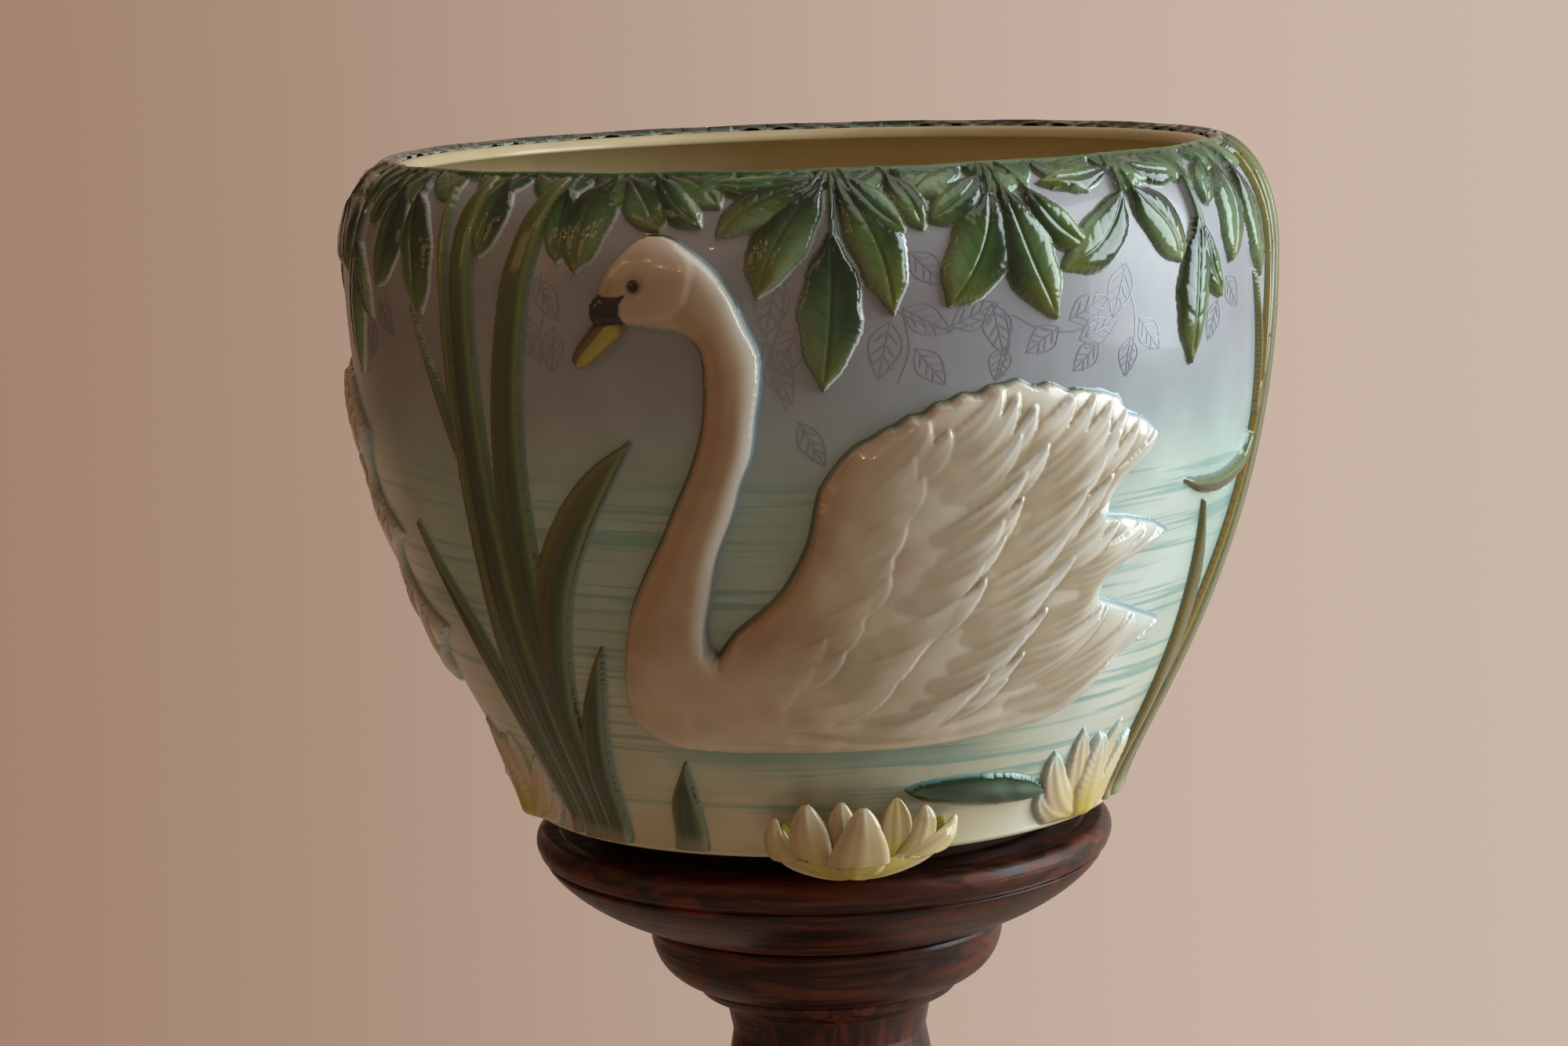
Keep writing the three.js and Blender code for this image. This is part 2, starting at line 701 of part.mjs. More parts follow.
const bowlEdge = standHeight + seatGap + footHeight;
const bowl = new THREE.Group();
bowl.position.z = bowlEdge;
part.add(bowl);
place(bowl, 'jardiniere_body', geometryOf(bowlBody()), groundGlaze);

const block = bowlBlock();
const seated = (ornament) => geometryOf(ornament.subtract(block));
const apart = { grow: lutingGap };
const nextThird = { grow: lutingGap, shift: thirdAcross };
const garlandCutters = [reeds(apart), reeds(nextThird), swan(apart)];
const frontLilyRoom = lily(frontLilyLines, apart);
const sideLilyRoom = lily(sideLilyLines, apart);
const pad = stroke(padLine, bladeSection, padRelief);

const swanForm = seated(swan());
const garlandForm = geometryOf(garland(garlandCutters));
const reedForm = geometryOf(reeds());
const bentReedForm = geometryOf(reeds({}, [bentBladeLine]));
const sproutForm = geometryOf(sprout());
const frontLilyForm = seated(lily(frontLilyLines));
const sideLilyForm = seated(lily(sideLilyLines));
const padForm = geometryOf(pad.subtract(frontLilyRoom).subtract(sideLilyRoom));

for (let i = 0; i < thirds; i += 1) {
  const third = new THREE.Group();
  third.rotation.z = (2 * Math.PI * i) / thirds;
  bowl.add(third);
  const number = i + 1;
  place(third, `swan_${number}`, swanForm, swanGlaze);
  place(third, `leaf_garland_${number}`, garlandForm, leafGlaze);
  place(third, `reeds_${number}`, i === 1 ? bentReedForm : reedForm, reedGlaze);
  place(third, `reed_sprout_${number}`, sproutForm, reedGlaze);
  place(third, `water_lily_${2 * i + 1}`, frontLilyForm, lilyGlaze);
  place(third, `water_lily_${2 * i + 2}`, sideLilyForm, lilyGlaze);
  place(third, `lily_pad_${number}`, padForm, padGlaze);
}

place(part, 'stand_top', geometryOf(standTop()), hardwood);
place(part, 'capital', geometryOf(capital()), hardwood);
place(part, 'upper_column', geometryOf(upperColumn()), hardwood);
place(part, 'column_knop', geometryOf(columnKnop()), hardwood);
place(part, 'lower_column', geometryOf(lowerColumn()), hardwood);
place(part, 'base_bell', geometryOf(baseBell()), hardwood);
place(part, 'plinth', geometryOf(plinth()), hardwood);

const bunForm = geometryOf(bunFoot());
ringOf(bunCount, bunCircle, 45, (x, y, number) => {
  place(part, `bun_foot_${number}`, bunForm, hardwood).position.set(x, y, 0);
});
const screwForm = geometryOf(plinthScrew());
ringOf(screwCount, screwCircle, 0, (x, y, number) => {
  place(part, `plinth_screw_${number}`, screwForm, steel).position.set(x, y, 0);
});

export default part;
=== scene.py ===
"""A glazed earthenware jardiniere with moulded swans, reeds, leaves and water lilies, on a turned stand."""

import bpy
import numpy as np
from mathutils import Matrix


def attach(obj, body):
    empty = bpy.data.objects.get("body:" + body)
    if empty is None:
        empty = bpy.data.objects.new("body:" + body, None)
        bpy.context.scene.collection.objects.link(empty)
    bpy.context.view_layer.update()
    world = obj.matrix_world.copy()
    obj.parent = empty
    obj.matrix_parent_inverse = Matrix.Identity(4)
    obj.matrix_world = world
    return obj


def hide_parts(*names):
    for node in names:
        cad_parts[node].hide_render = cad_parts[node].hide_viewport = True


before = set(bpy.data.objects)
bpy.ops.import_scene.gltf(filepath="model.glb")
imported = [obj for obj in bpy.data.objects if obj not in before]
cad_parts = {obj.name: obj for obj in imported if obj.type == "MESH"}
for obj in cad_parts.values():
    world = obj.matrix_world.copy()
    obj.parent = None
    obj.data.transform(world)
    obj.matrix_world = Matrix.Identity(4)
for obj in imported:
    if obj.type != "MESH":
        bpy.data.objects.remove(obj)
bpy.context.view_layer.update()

MM = 0.001
THIRDS = 3

# ---- sizes in millimetres; heights on the bowl are from its bottom edge -------------------------

BOWL_EDGE = 952.5
EDGE_RADIUS = 116.0
BELLY_RADIUS = 177.3
BELLY_HEIGHT = 210.0
RIM_RADIUS = 155.0
BOWL_HEIGHT = 248.3
FLARE_HANDLE = 17.3
BELLY_HANDLE = 123.0
WALL = 8.5
LIP = 4.5
FLOOR_HEIGHT = 8.0
FOOT_RADIUS = 92.0
FOOT_WIDTH = 12.0
FOOT_HEIGHT = 12.2
FOOT_BEVEL = 1.5
RECESS = -2.0

WALL_STEPS = 150
BOWL_SEGMENTS = 300
COLUMN_SEGMENTS = 128
BUN_SEGMENTS = 64

# the ornament is drawn flat: across runs round the bowl, up runs along the wall from the bottom edge
DRAWING_ROUND = 1036.73
DRAWING_HEIGHT = 268.9
THIRD_ACROSS = DRAWING_ROUND / THIRDS

# the middles of the swan's tail and of the water under its breast, across the drawing
TAIL_ACROSS = 138
BREAST_ACROSS = 4

# lifts off the wall: of what is left out of a relief, of the pooled glaze beside it and of a line
SUNK = -0.45
SKIRT_RISE = 0.3
SKIRT_FALL = 0.45
LINE_RISE = 0.12


# ---- curves, grids and meshes -------------------------------------------------------------------


def shade(code):
    """The linear colour of an sRGB hex code."""
    srgb = np.array([int(code[i : i + 2], 16) for i in (0, 2, 4)]) / 255
    return np.where(srgb <= 0.04045, srgb / 12.92, ((srgb + 0.055) / 1.055) ** 2.4)


def unit(value):
    return np.clip(value, 0, 1)


def ramp(value, low, high):
    """A smooth 0 to 1 as value goes from low to high."""
    share = unit((value - low) / (high - low))
    return share * share * (3 - 2 * share)


def ridge(value, middle, reach):
    """A soft bump: 1 at the middle, fading over the reach."""
    return np.exp(-(((value - middle) / reach) ** 2))


def dome(value, power=2):
    """A rounded fall from 1 at 0 to 0 at 1 and beyond."""
    return np.sqrt(unit(1 - value**power))


def mix(first, second, share):
    """Colours or numbers blended; share may be a grid."""
    first, second = np.asarray(first, float), np.asarray(second, float)
    share = np.asarray(share, float)
    if share.ndim and (first.ndim > share.ndim or second.ndim > share.ndim or first.shape == (3,)):
        share = share[..., None]
    return first * (1 - share) + second * share


def coats(tint, *layers):
    """A tint with more colours mixed in, one over the other, each by its share."""
    for colour, share in layers:
        tint = mix(tint, colour, share)
    return tint


def bezier(start, start_handle, end_handle, end, steps):
    t = np.linspace(0, 1, steps + 1)[:, None]
    corners = [np.asarray(p, float) for p in (start, start_handle, end_handle, end)]
    weights = ((1 - t) ** 3, 3 * (1 - t) ** 2 * t, 3 * (1 - t) * t**2, t**3)
    return sum(w * p for w, p in zip(weights, corners))


def arc(centre, half_width, half_height, start_degrees, end_degrees, steps):
    turn = np.radians(np.linspace(start_degrees, end_degrees, steps + 1))
    return np.stack([centre[0] + half_width * np.cos(turn), centre[1] + half_height * np.sin(turn)], -1)


def smooth_line(stations, per=5):
    """Stations joined by a smooth curve through all of them, with per steps between each two."""
    points = np.asarray(stations, float)
    around = np.vstack([2 * points[0] - points[1], points, 2 * points[-1] - points[-2]])
    t = (np.arange(per) / per)[:, None]
    runs = []
    for a, b, c, d in zip(around, around[1:], around[2:], around[3:]):
        bend = 2 * a - 5 * b + 4 * c - d
        runs.append(0.5 * (2 * b + (c - a) * t + bend * t**2 + (3 * b - a - 3 * c + d) * t**3))
    return np.vstack([*runs, points[-1:]])


def run_along(points):
    """How far along a line of points each of them lies."""
    return np.concatenate([[0], np.cumsum(np.hypot(*np.diff(points, axis=0).T))])


def normals(line):
    """The directions square to a line at each of its points."""
    step = np.gradient(line[:, :2], axis=0)
    return np.stack([-step[:, 1], step[:, 0]], -1) / np.hypot(*step.T)[:, None]


def blurred(grid, cells):
    """The grid softened over about so many cells."""
    reach = int(np.ceil(2.5 * cells))
    kernel = np.exp(-0.5 * (np.arange(-reach, reach + 1) / cells) ** 2)
    kernel /= kernel.sum()
    for axis in (0, 1):
        pads = [(reach, reach) if a == axis else (0, 0) for a in (0, 1)]
        padded = np.pad(grid, pads, mode="edge")
        size = grid.shape[axis]
        grid = sum(
            weight * np.take(padded, np.arange(i, i + size), axis=axis) for i, weight in enumerate(kernel)
        )
    return grid


def mottling(shape, cells, seed):
    """An uneven field about so many cells to a blotch, from -1 to 1."""
    field = blurred(np.random.default_rng(seed).normal(size=shape), cells)
    return np.clip(0.5 * field / field.std(), -1, 1)


def make_object(name, points, faces, colours=None, smooth=True):
    """A mesh object from points in millimetres, faces and a colour at each point."""
    mesh = bpy.data.meshes.new(name)
    mesh.from_pydata((np.asarray(points) * MM).tolist(), [], [list(map(int, f)) for f in faces])
    if smooth:
        mesh.polygons.foreach_set("use_smooth", np.ones(len(mesh.polygons), bool))
    if colours is not None:
        layer = mesh.color_attributes.new("Glaze", "FLOAT_COLOR", "POINT")
        rgba = np.ones((len(points), 4), np.float32)
        rgba[:, : colours.shape[1]] = unit(colours)
        layer.data.foreach_set("color", rgba.ravel())
    obj = bpy.data.objects.new(name, mesh)
    bpy.context.scene.collection.objects.link(obj)
    return obj


def grid_faces(rows, columns, closed=False):
    """Faces of a grid of points, row by row, facing so that rows go up and columns go right."""
    row, column = np.mgrid[: rows - 1, : columns if closed else columns - 1]
    here = row * columns + column
    right = row * columns + (column + 1) % columns
    return np.stack([here, right, right + columns, here + columns], -1).reshape(-1, 4)


def ring_of_grid(rows, columns):
    """The outer points of a grid of points, in order."""
    grid = np.arange(rows * columns).reshape(rows, columns)
    return np.concatenate([grid[0, :-1], grid[:-1, -1], grid[-1, :0:-1], grid[:0:-1, 0]])


def lathe(name, profile, segments, colours=None):
    """A piece turned about the Z axis from [radius, height] points, listed up the outside. Faces that
    run to the axis become triangles that meet at one point."""
    profile = np.asarray(profile, float)
    turn = np.linspace(0, 2 * np.pi, segments, endpoint=False)
    radius, height = profile[:, :1], profile[:, 1:]
    points = np.stack([radius * np.sin(turn), -radius * np.cos(turn), height + 0 * turn], -1)
    points = points.reshape(-1, 3)
    welded = np.arange(len(points))
    for row in np.flatnonzero(profile[:, 0] < 1e-6):
        welded[row * segments : (row + 1) * segments] = row * segments
    faces = welded[grid_faces(len(profile), segments, closed=True)].tolist()
    faces = [corners for corners in map(list, map(dict.fromkeys, faces)) if len(corners) > 2]
    return make_object(name, points, faces, None if colours is None else colours.reshape(len(points), -1))


# ---- the bowl's wall ----------------------------------------------------------------------------


def outer_wall(steps):
    """The outside of the bowl, [radius, height] from its bottom edge to the top of the lip."""
    lower = bezier(
        (EDGE_RADIUS, 0),
        (EDGE_RADIUS - FLARE_HANDLE * 0.09, FLARE_HANDLE),
        (BELLY_RADIUS, BELLY_HEIGHT - BELLY_HANDLE),
        (BELLY_RADIUS, BELLY_HEIGHT),
        steps,
    )
    width, height = BELLY_RADIUS - RIM_RADIUS, BOWL_HEIGHT - BELLY_HEIGHT
    shoulder = arc((RIM_RADIUS, BELLY_HEIGHT), width, height, 0, 90, steps // 3)
    return np.vstack([lower, shoulder[1:]])


wall_points = outer_wall(2 * WALL_STEPS)
wall_steps = np.gradient(wall_points, axis=0)
wall_steps /= np.hypot(*wall_steps.T)[:, None]
wall_run = run_along(wall_points)
wall_up = wall_run * DRAWING_HEIGHT / wall_run[-1]


def on_wall(across, up, lift):
    """The places of points of the drawing, lifted off the wall; below the bottom edge they hang."""
    there = np.clip(up, 0, DRAWING_HEIGHT)
    radius = np.interp(there, wall_up, wall_points[:, 0])
    height = np.interp(there, wall_up, wall_points[:, 1])
    out_radius = np.interp(there, wall_up, wall_steps[:, 1])
    out_height = np.interp(there, wall_up, -wall_steps[:, 0])
    radius = radius + lift * out_radius
    height = height + lift * out_height + np.minimum(up, 0)
    turn = 2 * np.pi * across / DRAWING_ROUND
    return np.stack([radius * np.sin(turn), -radius * np.cos(turn), height + BOWL_EDGE], -1)


# glazes, as sRGB codes
LAVENDER = shade("a3a5ae")
SKY = shade("a9b4ba")
AQUA = shade("b5d0c6")
TEAL = shade("6fa9a4")
BANK = shade("ded5b6")
SHALLOW = shade("d2d7bf")
RIM_GREEN = shade("4f7350")
IVORY = shade("e6dcc6")
PEACH = shade("b38a60")
WHITE = shade("e9e7df")
# painted shade, in the hollows and at the feather roots
SHADE_TAN = shade("aa9576")
# the pooled glaze round reliefs: dark with painted shadow, pale blue with painted light
POOL_SHADOW_DARK = shade("5d6a55")
POOL_LIT_BLUE = shade("93b0bd")
LEAF = shade("3c6a36")
LEAF_DEEP = shade("092014")
LEAF_PALE = shade("93ab83")
LEAF_OLIVE = shade("80803a")
REED = shade("40602f")
REED_DEEP = shade("1c2c16")
REED_LIGHT = shade("83904a")
REED_GOLD = shade("a9853c")
CREAM = shade("dfcda9")
LILY_YELLOW = shade("d3bd4a")
LILY_SHADE = shade("9c7844")
PAD = shade("28522f")
PAD_DEEP = shade("173623")
OCHRE = shade("a8924e")
BILL_BLACK = shade("1c1411")
INSIDE = shade("d0bf96")
# painted shade: the foot and underside are dark brown as if in the shadow under the bowl
FOOT_SHADE_BROWN = shade("43342a")


def ground(up, across):
    """The glaze of the bare wall: lavender above, water below, cream at the bottom edge, paler round the tail
    of each swan, and a painted teal shadow in the water under it."""
    from_tail, from_breast = (
        (across - place + THIRD_ACROSS / 2) % THIRD_ACROSS - THIRD_ACROSS / 2
        for place in (TAIL_ACROSS, BREAST_ACROSS)
    )
    by_tail = ridge(from_tail, 0, 34) * (1 - ramp(up, 130, 172))
    # painted shadow: teal in the water under each swan's breast
    under = (1 - ramp(np.abs(from_breast), 50, 90)) * ridge(up, 43, 4.5)
    return coats(
        BANK, (SHALLOW, ramp(up, 4, 34)), (AQUA, ramp(up, 40, 120)), (SKY, ramp(up, 140, 182)),
        (LAVENDER, ramp(up, 165, 205)), (shade("e8efe8"), 0.8 * by_tail), (TEAL, 0.6 * under),
        (RIM_GREEN, 0.75 * ramp(up, 259, 266)),
    )


# ---- relief: patches of the wall's drawing with a height and a colour at each point --------------

WHOLE = np.s_[:]


class Relief:
    """A patch of the drawing on a fine grid."""

    def __init__(self, left, right, bottom, top, step):
        self.step = step
        across, up = np.arange(left, right + step, step), np.arange(bottom, top + step, step)
        self.u, self.v = np.meshgrid(across, up)
        self.h = np.full(self.u.shape, SUNK)
        self.rgb = self.bare(WHOLE)
        self.drift = np.zeros((*self.u.shape, 2))

    def bare(self, part):
        return ground(self.v[part], self.u[part])

    def beside(self, stations, per, margin=3):
        """The part of the grid round a line of stations, and where its points lie beside the line."""
        line = smooth_line(stations, per)
        reach = line[:, 2].max() + margin
        low, high = line[:, :2].min(0) - reach, line[:, :2].max(0) + reach
        columns = np.flatnonzero((self.u[0] >= low[0]) & (self.u[0] <= high[0]))
        rows = np.flatnonzero((self.v[:, 0] >= low[1]) & (self.v[:, 0] <= high[1]))
        part = slice(rows[0], rows[-1] + 1), slice(columns[0], columns[-1] + 1)
        return part, *along_line(self.u[part], self.v[part], line)

    def lay(self, part, height, rgb):
        """Keeps whichever is higher, what is there or the new height with its colour."""
        higher = height > self.h[part]
        self.h[part] = np.where(higher, height, self.h[part])
        self.rgb[part] = np.where(higher[..., None], rgb, self.rgb[part])

    def lay_form(self, part, inside, height, rgb, top):
        """Lays a form that ends where its distance inside the edge is 0, and draws the grid's points
        that are near that edge onto lines beside it, so that the edge runs clean."""
        ring = np.round(inside / self.step)
        slope_v, slope_u = np.gradient(inside, self.step)
        steep = np.maximum(slope_u**2 + slope_v**2, 0.25)
        pull = np.select([(ring == 0) | (ring == 1), (ring == -1) | (ring == 2)], [1.0, 0.5], 0.0)
        move = pull * (ring * self.step - inside) / steep
        covers = np.where(ring >= 1, height > self.h[part], self.h[part] < 0.6 * top)
        drift = np.stack([move * slope_u, move * slope_v], -1)
        self.drift[part] = np.where((covers & (pull > 0))[..., None], drift, self.drift[part])
        bled = mix(self.rgb[part], rgb, np.maximum(ramp(inside, -0.2, 1.1), self.h[part] < 0.6))
        self.lay(part, np.where(ring >= 1, height, SUNK), bled)

    def lay_skirt(self, part, nearest, width, pooled, fades=None):
        """The thin pooled glaze round a raised form, which falls to below the wall and fades into the ground
        between two distances from the form. Some callers colour it with painted shadow on one side and
        painted light on the other."""
        outside = (nearest - 1) * width
        if fades:
            pooled = mix(pooled, self.bare(part), ramp(outside, *fades))
        self.lay(part, SKIRT_RISE - SKIRT_FALL * np.maximum(outside, 0), pooled)

    def piece(self, name, turn_thirds):
        """The raised part as a mesh, turned by so many thirds."""
        up = self.h > SUNK + 0.01
        near = up[:-1, :-1] | up[1:, :-1] | up[:-1, 1:] | up[1:, 1:]
        rows, columns = self.u.shape
        faces = grid_faces(rows, columns)[near.ravel()]
        used, inverse = np.unique(faces, return_inverse=True)
        moved = np.clip(self.drift, -0.5 * self.step, 0.5 * self.step).reshape(-1, 2)[used]
        across = self.u.ravel()[used] + moved[:, 0] + turn_thirds * THIRD_ACROSS
        up_wall = np.clip(self.v.ravel()[used] + moved[:, 1], 0, DRAWING_HEIGHT)
        points = on_wall(across, up_wall, self.h.ravel()[used])
        return make_object(name, points, inverse.reshape(-1, 4), self.rgb.reshape(-1, 3)[used])


def along_line(u, v, line):
    """Where each point lies beside a line of [across, up, half width, rise]: its distance as a share
    of the half width, its signed distance (+ on the left of the line's run), how far along it is,
    and the half width and rise there."""
    nearest = np.full(u.shape, 1e9)
    side, along, width, rise = (np.zeros(u.shape) for _ in range(4))
    run = 0.0
    for a, b in zip(line, line[1:]):
        step = b[:2] - a[:2]
        length = np.hypot(*step)
        share = unit(((u - a[0]) * step[0] + (v - a[1]) * step[1]) / length**2)
        off_u, off_v = u - a[0] - share * step[0], v - a[1] - share * step[1]
        here = a[2] + (b[2] - a[2]) * share
        distance = np.hypot(off_u, off_v)
        better = distance / here < nearest
        nearest = np.where(better, distance / here, nearest)
        left = np.sign(step[0] * off_v - step[1] * off_u)
        side = np.where(better, left * distance, side)
        along = np.where(better, run + share * length, along)
        width = np.where(better, here, width)
        rise = np.where(better, a[3] + (b[3] - a[3]) * share, rise)
        run += length
    return nearest, side, along / run, width, rise


def inside_outline(u, v, outline):
    """The distance of each point from an outline, positive inside."""
    inside = np.zeros(u.shape, bool)
    nearest = np.full(u.shape, 1e9)
    for a, b in zip(outline, np.roll(outline, -1, axis=0)):
        step = b - a
        share = unit(((u - a[0]) * step[0] + (v - a[1]) * step[1]) / (step @ step))
        nearest = np.minimum(nearest, np.hypot(u - a[0] - share * step[0], v - a[1] - share * step[1]))
        crosses = (a[1] > v) != (b[1] > v)
        rising = step[1] if step[1] else 1e-9
        inside ^= crosses & (u < a[0] + (v - a[1]) * step[0] / rising)
    return np.where(inside, nearest, -nearest)


def joined(first, second, reach):
    """The higher of two heights, with a soft join where they are close."""
    close = unit(1 - np.abs(first - second) / reach)
    return np.maximum(first, second) + reach / 4 * close**2


# ---- the swan -----------------------------------------------------------------------------------

SWAN_RELIEF = 8.0
HEAD_RELIEF = 7.0
SWAN_SKIRT_FALL = 0.32
FORM_WIDENING = 1.12
BLOTCH_SEED = 3

BREAST_EDGE = [
    (-61, 211), (-50, 209), (-42, 208), (-36, 204), (-34, 198), (-34, 185), (-36, 172), (-41, 158),
    (-47, 146), (-53, 134), (-59, 124), (-66, 112), (-71, 102), (-75, 90), (-78, 78), (-80, 66),
    (-79, 58), (-74, 53), (-62, 50),
]
WATER_EDGE = [(-40, 48.5), (0, 48), (40, 48.5), (80, 50), (98, 51.5)]
TAIL_EDGE = [
    (112, 55), (122, 62), (128, 70), (136, 76), (148, 81), (158, 86), (142, 91), (128, 96),
    (114, 101), (112, 104), (116, 110), (124, 115), (136, 120), (146, 123), (135, 128), (120, 132),
    (107, 134), (110, 142), (116, 149), (124, 155), (131, 162), (122, 168), (112, 172), (109, 178),
]
WING_EDGE = [
    (100, 180), (88, 182), (75, 185), (62, 186), (52, 183), (40, 180), (30, 175), (20, 170),
    (13, 166), (7, 159), (2, 151), (0, 142), (-2, 133), (-6, 124), (-12, 114), (-20, 106),
    (-30, 98), (-38, 88),
]
NECK_EDGE = [
    (-41, 92), (-41, 100), (-38, 112), (-34, 128), (-28, 142), (-24, 155), (-20, 165), (-18, 178),
    (-16, 190), (-16, 200), (-20, 210), (-24, 220), (-30, 229), (-38, 236), (-45, 240), (-52, 240),
    (-58, 236), (-66, 227), (-68, 219), (-65, 213),
]
SWAN_OUTLINE = np.vstack(
    [smooth_line(BREAST_EDGE, 3), WATER_EDGE, TAIL_EDGE, smooth_line(WING_EDGE, 2), smooth_line(NECK_EDGE, 3)]
)

HEAD_AND_NECK = [
    (-67.5, 221, 6, 0.6), (-61, 224.5, 13, 0.95), (-46, 225, 14.6, 1.1), (-35.5, 219, 11.5, 1.05),
    (-28.5, 207, 9.8, 1), (-25, 190, 9.3, 1), (-28.5, 168, 9, 1), (-37, 146, 10, 1),
    (-48, 123, 12.3, 1.1), (-56.5, 101, 17, 1.18), (-58.5, 80, 21, 1.2), (-54, 60, 15.5, 0.8),
]
BODY = [
    (-75, 72, 9, 0.4), (-60, 72, 20.5, 0.95), (-30, 73, 24, 1.1), (22, 74, 25, 1.15),
    (65, 76, 25.5, 1.05), (104, 79, 20.5, 0.7), (130, 82.5, 11.5, 0.5), (158, 86.5, 1.5, 0.25),
]
WING = [
    [
        (-37, 91, 2.5, 0.4), (-14, 101.5, 6.5, 0.85), (5, 122, 12, 1.1), (22, 143.5, 18, 1.18),
        (54, 159.5, 24, 1.1), (84, 163.5, 20.5, 0.9), (112, 160, 12, 0.6), (132, 160.5, 1.8, 0.25),
    ],
    [
        (-14, 90, 14, 0.95), (12, 105, 22, 1.1), (50, 120, 26, 1.15), (88, 125, 20, 0.9),
        (118, 124.5, 8.5, 0.55), (146, 123, 1.6, 0.25),
    ],
    [(20, 100, 20, 1.1), (64, 104, 18, 1.1), (106, 103.5, 3.5, 0.55)],
]

CHEEK = [
    (-76, 204), (-60, 208), (-54, 210.2), (-47, 211.8), (-41.9, 213.9), (-38, 218), (-36.4, 222.4),
    (-35.4, 229), (-38, 236), (-46, 248), (-76, 248),
]

# rows of feathers from the tail to the front of the wing: the curve that their tips follow from top
# to bottom, how many, the angles of the top, middle and bottom ones, length, half width and lift
FEATHER_ROWS = [
    ([(112, 174), (121, 168), (131, 162), (126, 153), (118, 146), (110, 139)], 8, (46, 40, 34), 46, 4.3, 0.1),
    ([(108, 133), (121, 131), (134, 127), (146, 123), (134, 118), (120, 111)], 9, (34, 32, 32), 52, 4.0, 0.1),
    ([(116, 99), (128, 96), (142, 91), (158, 86), (146, 80), (134, 74), (124, 66), (112, 58)], 11,
     (32, 32, 34), 60, 4.2, 0.1),
    ([(90, 183), (103, 177), (106, 166), (104, 153), (96, 141), (91, 127), (86, 109), (78, 92),
      (71, 80), (58, 72), (43, 67)], 20, (50, 37, 26), 42, 4.9, 0.3),
    ([(62, 187), (70, 178), (72, 166), (70, 151), (66, 138), (59, 124), (50, 113), (44, 101),
      (34, 89), (26, 80), (12, 74)], 19, (54, 39, 26), 36, 4.7, 0.4),
    ([(34, 183), (37, 173), (35, 160), (32, 148), (25, 131), (19, 118), (11, 104), (2, 93),
      (-8, 82)], 15, (64, 52, 34), 26, 4.7, 0.25),
]
FEATHER_SEED = 11
FEATHER_STAGGER = 3.6
FEATHER_WIDTHS = [0.6, 0.9, 1.0, 0.96, 0.78, 0.5, 0.1]
STRANDS = 2


def feather(swan, layer, tone, tip, degrees, length, half_width, lift, phase):
    """Adds one feather to the layer: it curves up and rises to its tip, where it ends in a step, and fine
    strands run along it. The tone goes from 0 at its root and along its sides, where it carries painted
    shade, to 1 at its pale tip."""
    turns = np.radians(np.linspace(degrees - 34, degrees + 12, len(FEATHER_WIDTHS) - 1))
    steps = np.stack([np.cos(turns), np.sin(turns)], -1) * length / len(turns)
    places = np.vstack([np.array(tip) - np.cumsum(steps[::-1], axis=0)[::-1], tip])
    stations = [(*place, half_width * share, 1) for place, share in zip(places, FEATHER_WIDTHS)]
    part, nearest, side, along, width, _ = swan.beside(stations, 2, 1)
    rise = (0.05 + 1.3 * along**1.2) * (1 - 0.4 * nearest**2)
    across = side / np.maximum(width, 1)
    strands = np.cos(np.pi * STRANDS * across + phase + 1.2 * np.sin(5 * along + phase))
    height = lift * along + rise + 0.15 * strands * ramp(along, 0.1, 0.5) * (1 - 0.6 * nearest)
    covers = (nearest < 1) & (height > layer[part])
    layer[part] = np.where(covers, height, layer[part])
    # the tone: painted shade low at the root and along the sides, the pale glaze high at the tip
    glow = ramp(along, 0.4, 0.85) * (0.75 + 0.25 * np.cos(2 * phase)) - 0.35 * ramp(nearest, 0.65, 1)
    tone[part] = np.where(covers, glow, tone[part])


def feathers(swan):
    """The heights and the tones of all the feathers, row by row, each a little different."""
    layer, tone = np.zeros(swan.u.shape), np.full(swan.u.shape, 0.5)
    random = np.random.default_rng(FEATHER_SEED)
    for tips, count, angles, length, half_width, lift in FEATHER_ROWS:
        curve = smooth_line([(*tip, 0, 0) for tip in tips], 8)[:, :2]
        for order, share in enumerate(np.linspace(0, 1, count)):
            at = share * (len(curve) - 1)
            tip = np.array([np.interp(at, np.arange(len(curve)), curve[:, k]) for k in (0, 1)])
            jitter = random.uniform(-1, 1, 5)
            if 0.08 < share < 0.92:
                tip = tip + jitter[:2] * (4, 1.6) + (FEATHER_STAGGER * (-1) ** order, 0)
            degrees = np.interp(share, (0, 0.5, 1), angles) + 5 * jitter[2]
            longer, wider = 1 + 0.15 * jitter[3], 1 + 0.15 * jitter[4]
            size = length * longer, half_width * wider
            feather(swan, layer, tone, tip, degrees, *size, lift, 3 * jitter[2])
    return blurred(layer, 0.7), blurred(tone, 1.2)


